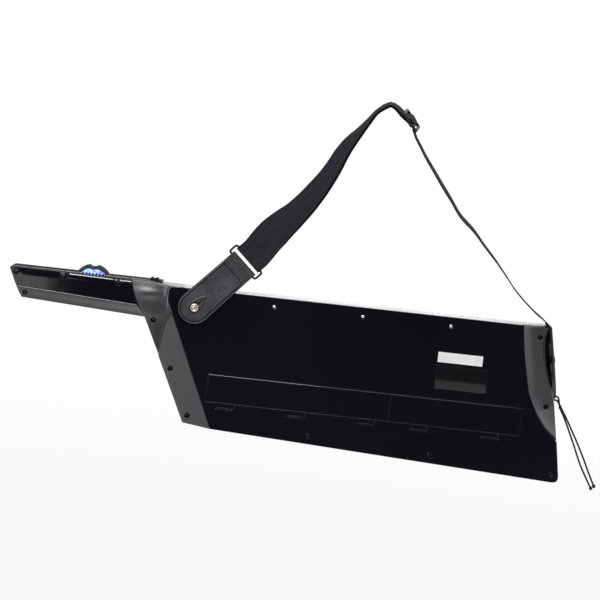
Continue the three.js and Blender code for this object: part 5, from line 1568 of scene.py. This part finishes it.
# The belt's mesh through stations (middle, across, normal), and its length
def bandShape(stations):
    half, thin = web["width"] / 2, web["thick"] / 2
    section = [
        (-1, -0.55), (-0.985, -0.95), (-0.94, -1), (-0.5, -1), (0, -1), (0.5, -1), (0.94, -1),
        (0.985, -0.95), (1, -0.55),
    ]
    section += [(-u, -w) for u, w in section]
    places, uvs = [], []
    runs = runOf([middle for middle, _, _ in stations])
    for (middle, across, normal), travelled in zip(stations, runs):
        for u, w in section:
            places.append(at(*(middle + across * u * half + normal * w * thin)))
            uvs.append(((u * half + half) / 1000, travelled / 1000))
    mesh = meshFrom("strapWebbing", places, tubeFaces(len(stations), len(section)))
    layer = mesh.uv_layers.new(name="weave")
    for loop in mesh.loops:
        layer.data[loop.index].uv = uvs[loop.vertex_index]
    return mesh, runs[-1] / 1000


def makeWebbing():
    ringTop = leftPlace + tabUp * (leatherLength + 2 * ring["half"][1])
    ringTop.y = ringMiddle
    mouth = endAt(web["stand"] - web["thick"], web["mouth"] + web["thick"])
    path = beltRoute(ringTop, mouth)
    run = runOf(path)
    sliderX = strapTop.x + (endTop[0] - strapTop.x) * web["sliderShare"]
    sliderPlace = next(d for d, p in zip(run, path) if p.x > sliderX)
    leftTurn = [(0, 0)] + [(up, turn) for _, up, turn in web["leftRoute"]]
    leftTurn.append((1, web["rightTurn"][0][1]))

    def locate(distance):
        distance = clamp(distance, 0, run[-1] - 1e-6)
        i = max(0, bisect_right(run, distance) - 1)
        return path[i].lerp(path[i + 1], (distance - run[i]) / (run[i + 1] - run[i]))

    def station(distance, shift):
        middle = locate(distance)
        forward = (locate(distance + 1.5) - locate(distance - 1.5)).normalized()
        flat = Vector((forward.z, 0, -forward.x)).normalized()
        along = (middle.x - strapTop.x) / (mouth.x - strapTop.x)
        if along < 0:
            up = (middle.z - ringTop.z) / (strapTop.z - ringTop.z)
            angle = tableValue(leftTurn, up) * math.pi / 2
        else:
            angle = tableValue(web["rightTurn"], along) * math.pi / 2
        across = flat * math.cos(angle) - forward.cross(flat) * math.sin(angle)
        normal = forward.cross(across)
        return middle + normal * shift, across, normal, forward

    # Shifts along the normal: apart at the ring, and up over the slider's middle bar
    def atRing(d):
        return (web["radius"] - web["layers"]) * (1 - ease(d, 0, web["ease"]))

    def runningShift(d):
        past, over = d - sliderPlace, web["sliderRise"] + web["thick"]
        low = ease(past, *web["fallAfter"]) if past > 0 else ease(-past, *web["riseBefore"])
        thin = web["layers"] * (1 - ease(past, *web["thinAfter"]))
        return -thin - atRing(d) - over * (1 - low)

    def sewnShift(d):
        rise = ease(d - sliderPlace, *web["sewnRise"])
        return web["layers"] * (1 - 2 * rise) + atRing(d)

    def stops(end):
        values = [0]
        while values[-1] < end:
            last = values[-1]
            near = abs(last - sliderPlace) < 30 or last < web["ease"]
            values.append(min(last + (2 if near else 6), end))
        return values

    stations = []
    for d in reversed(stops(sliderPlace + web["sewnEnd"])):
        middle, across, normal, _ = station(d, sewnShift(d))
        stations.append((middle, across, -normal))
    _, across, normal, forward = station(0, 0)
    for k in range(1, 12):
        angle = math.pi * k / 12
        outward = normal * math.cos(angle) - forward * math.sin(angle)
        stations.append((ringTop + outward * web["radius"], across, -outward))
    stations += [station(d, runningShift(d))[:3] for d in stops(run[-1])]
    mesh, length = bandShape(stations)
    piece = finishMesh(
        "strap_webbing_belt", mesh, webbingWeave, "dark_webbing", node="strap_webbing", angle=50)
    print("webbing length", round(length, 4))


makeWebbing()

# Bend wheel: a clear blue disc with moulded ribs, in a rubber tyre with a thumb dip
wheel = {
    "x": -162.0,
    "z": 202.0,
    "lowY": 15.5,
    "width": 11.0,
    "radius": 30.0,
    "tyre": 5.6,
    "fit": 0.15,
    "side": 0.8,
    "ridges": 60,
    "ridge": 0.35,
    "bite": (10.0, 3.6),
    "dip": 2.6,
    "dipSpread": 0.3,
    "hub": 11.3,
    "web": 2.4,
    "rib": (0.3, 0.2, 1.4),
    "ribPitch": 4.2,
    "tooth": ((-0.6, 1.5), (0.4, 1.4), (1.6, 0.8)),
    "combStart": (-177.6, 12.2, 217.6),
    "combPitch": 5.2,
    "combTeeth": 7,
}


def makeDisc():
    low, inner = wheel["lowY"], wheel["radius"] - wheel["tyre"] - wheel["fit"]
    hub, face = wheel["hub"], low + wheel["web"]
    half = [
        (0, hub), (2.7, hub), (3, hub + 0.3), (3, low), (6.5, low), (7, low + 0.5), (7.2, face),
        (inner - 5.2, face), (inner - 4.6, low + 0.3), (inner - 4.0, low), (inner - 0.5, low),
        (inner, low + 0.5),
    ]
    profile = half + [(r, 2 * low + wheel["width"] - height) for r, height in reversed(half)]
    matrix = Matrix.Translation(at(wheel["x"], 0, wheel["z"])) @ Matrix.Rotation(-math.pi / 2, 4, "X")
    addPiece(
        "bend_wheel_disc", turned(profile, matrix, 72), clearBlue, "blue_clear", "bend_wheel",
        "wheel_disc", 30,
    )


# The tyre's section at one turn: its hole, its side, its tread and back again
def tyreSection(k, turn):
    radius, low, high = wheel["radius"], wheel["lowY"], wheel["lowY"] + wheel["width"]
    lowY, highY = low - wheel["side"], high + wheel["side"]
    biteRadius, biteDepth = wheel["bite"]
    outer, biteCentre = radius, radius - biteDepth + biteRadius
    # The thumb dip is a round bite at the top
    middle = biteCentre * math.sin(turn)
    root = middle * middle - biteCentre * biteCentre + biteRadius * biteRadius
    if root > 0 and middle > 0:
        outer = min(outer, middle - math.sqrt(root))
    tread = outer - (wheel["ridge"] if k % 4 < 2 and outer > radius - 0.01 else 0)
    hole = radius - wheel["tyre"] + wheel["fit"]
    fromTop = (turn - math.pi / 2) / wheel["dipSpread"]
    lip = hole - 0.3 - wheel["dip"] * math.exp(-fromTop * fromTop)
    half = [
        (hole, low - 0.1), (lip, low - 0.1), (lip, lowY + 0.3), (lip + 0.4, lowY),
        (outer - 1.3, lowY), (tread - 0.4, lowY + 0.4), (tread, lowY + 1.4),
    ]
    back = [(r, lowY + highY - y) for r, y in reversed(half)]
    return [*half, (tread, (lowY + highY) / 2), *back]


# A place on the wheel, at a radius and turn round its axle
def onWheel(radius, y, turn):
    return at(wheel["x"] + radius * math.cos(turn), y, wheel["z"] + radius * math.sin(turn))


def makeTyre():
    sides, places = wheel["ridges"] * 4, []
    for k in range(sides):
        turn = 2 * math.pi * k / sides
        section = tyreSection(k, turn)
        places += [onWheel(r, y, turn) for r, y in section]
    shape = (places, tubeFaces(sides, len(section), True))
    addPiece("bend_wheel_tyre", shape, rubber, "soft_rubber", "bend_wheel", "wheel_tyre", 30)


def makeRibs():
    radius = wheel["radius"] - wheel["tyre"] - wheel["fit"] - 2.2
    rim = [onWheel(radius, wheel["lowY"] - 0.1, 2 * math.pi * k / 48) for k in range(49)]
    half = Vector(wheel["rib"]) / 1000
    rib = blockShape(-half, half)
    repeated(
        "bend_wheel_ribs", [rim], rib, clearBlue, "blue_clear", "bend_wheel",
        wheel["ribPitch"] / 1000,
    )


# A dark comb stands along the slot's edge in front of the wheel
def makeComb():
    tall = [Vector((0, 0, height)) / 1000 for height, _ in wheel["tooth"]]
    places, faces = sweepRound(tall, [radius / 1000 for _, radius in wheel["tooth"]], 10)
    x, y, z = wheel["combStart"]
    teeth = []
    for k in range(wheel["combTeeth"]):
        foot = at(x + wheel["combPitch"] * k, y, z)
        teeth.append(([place + foot for place in places], faces))
    addPiece("neck_wheel_comb", joined(*teeth), satinBlack, "black_matte", angle=40)


makeDisc()
makeTyre()
makeRibs()
makeComb()
print("wheel and strap made")
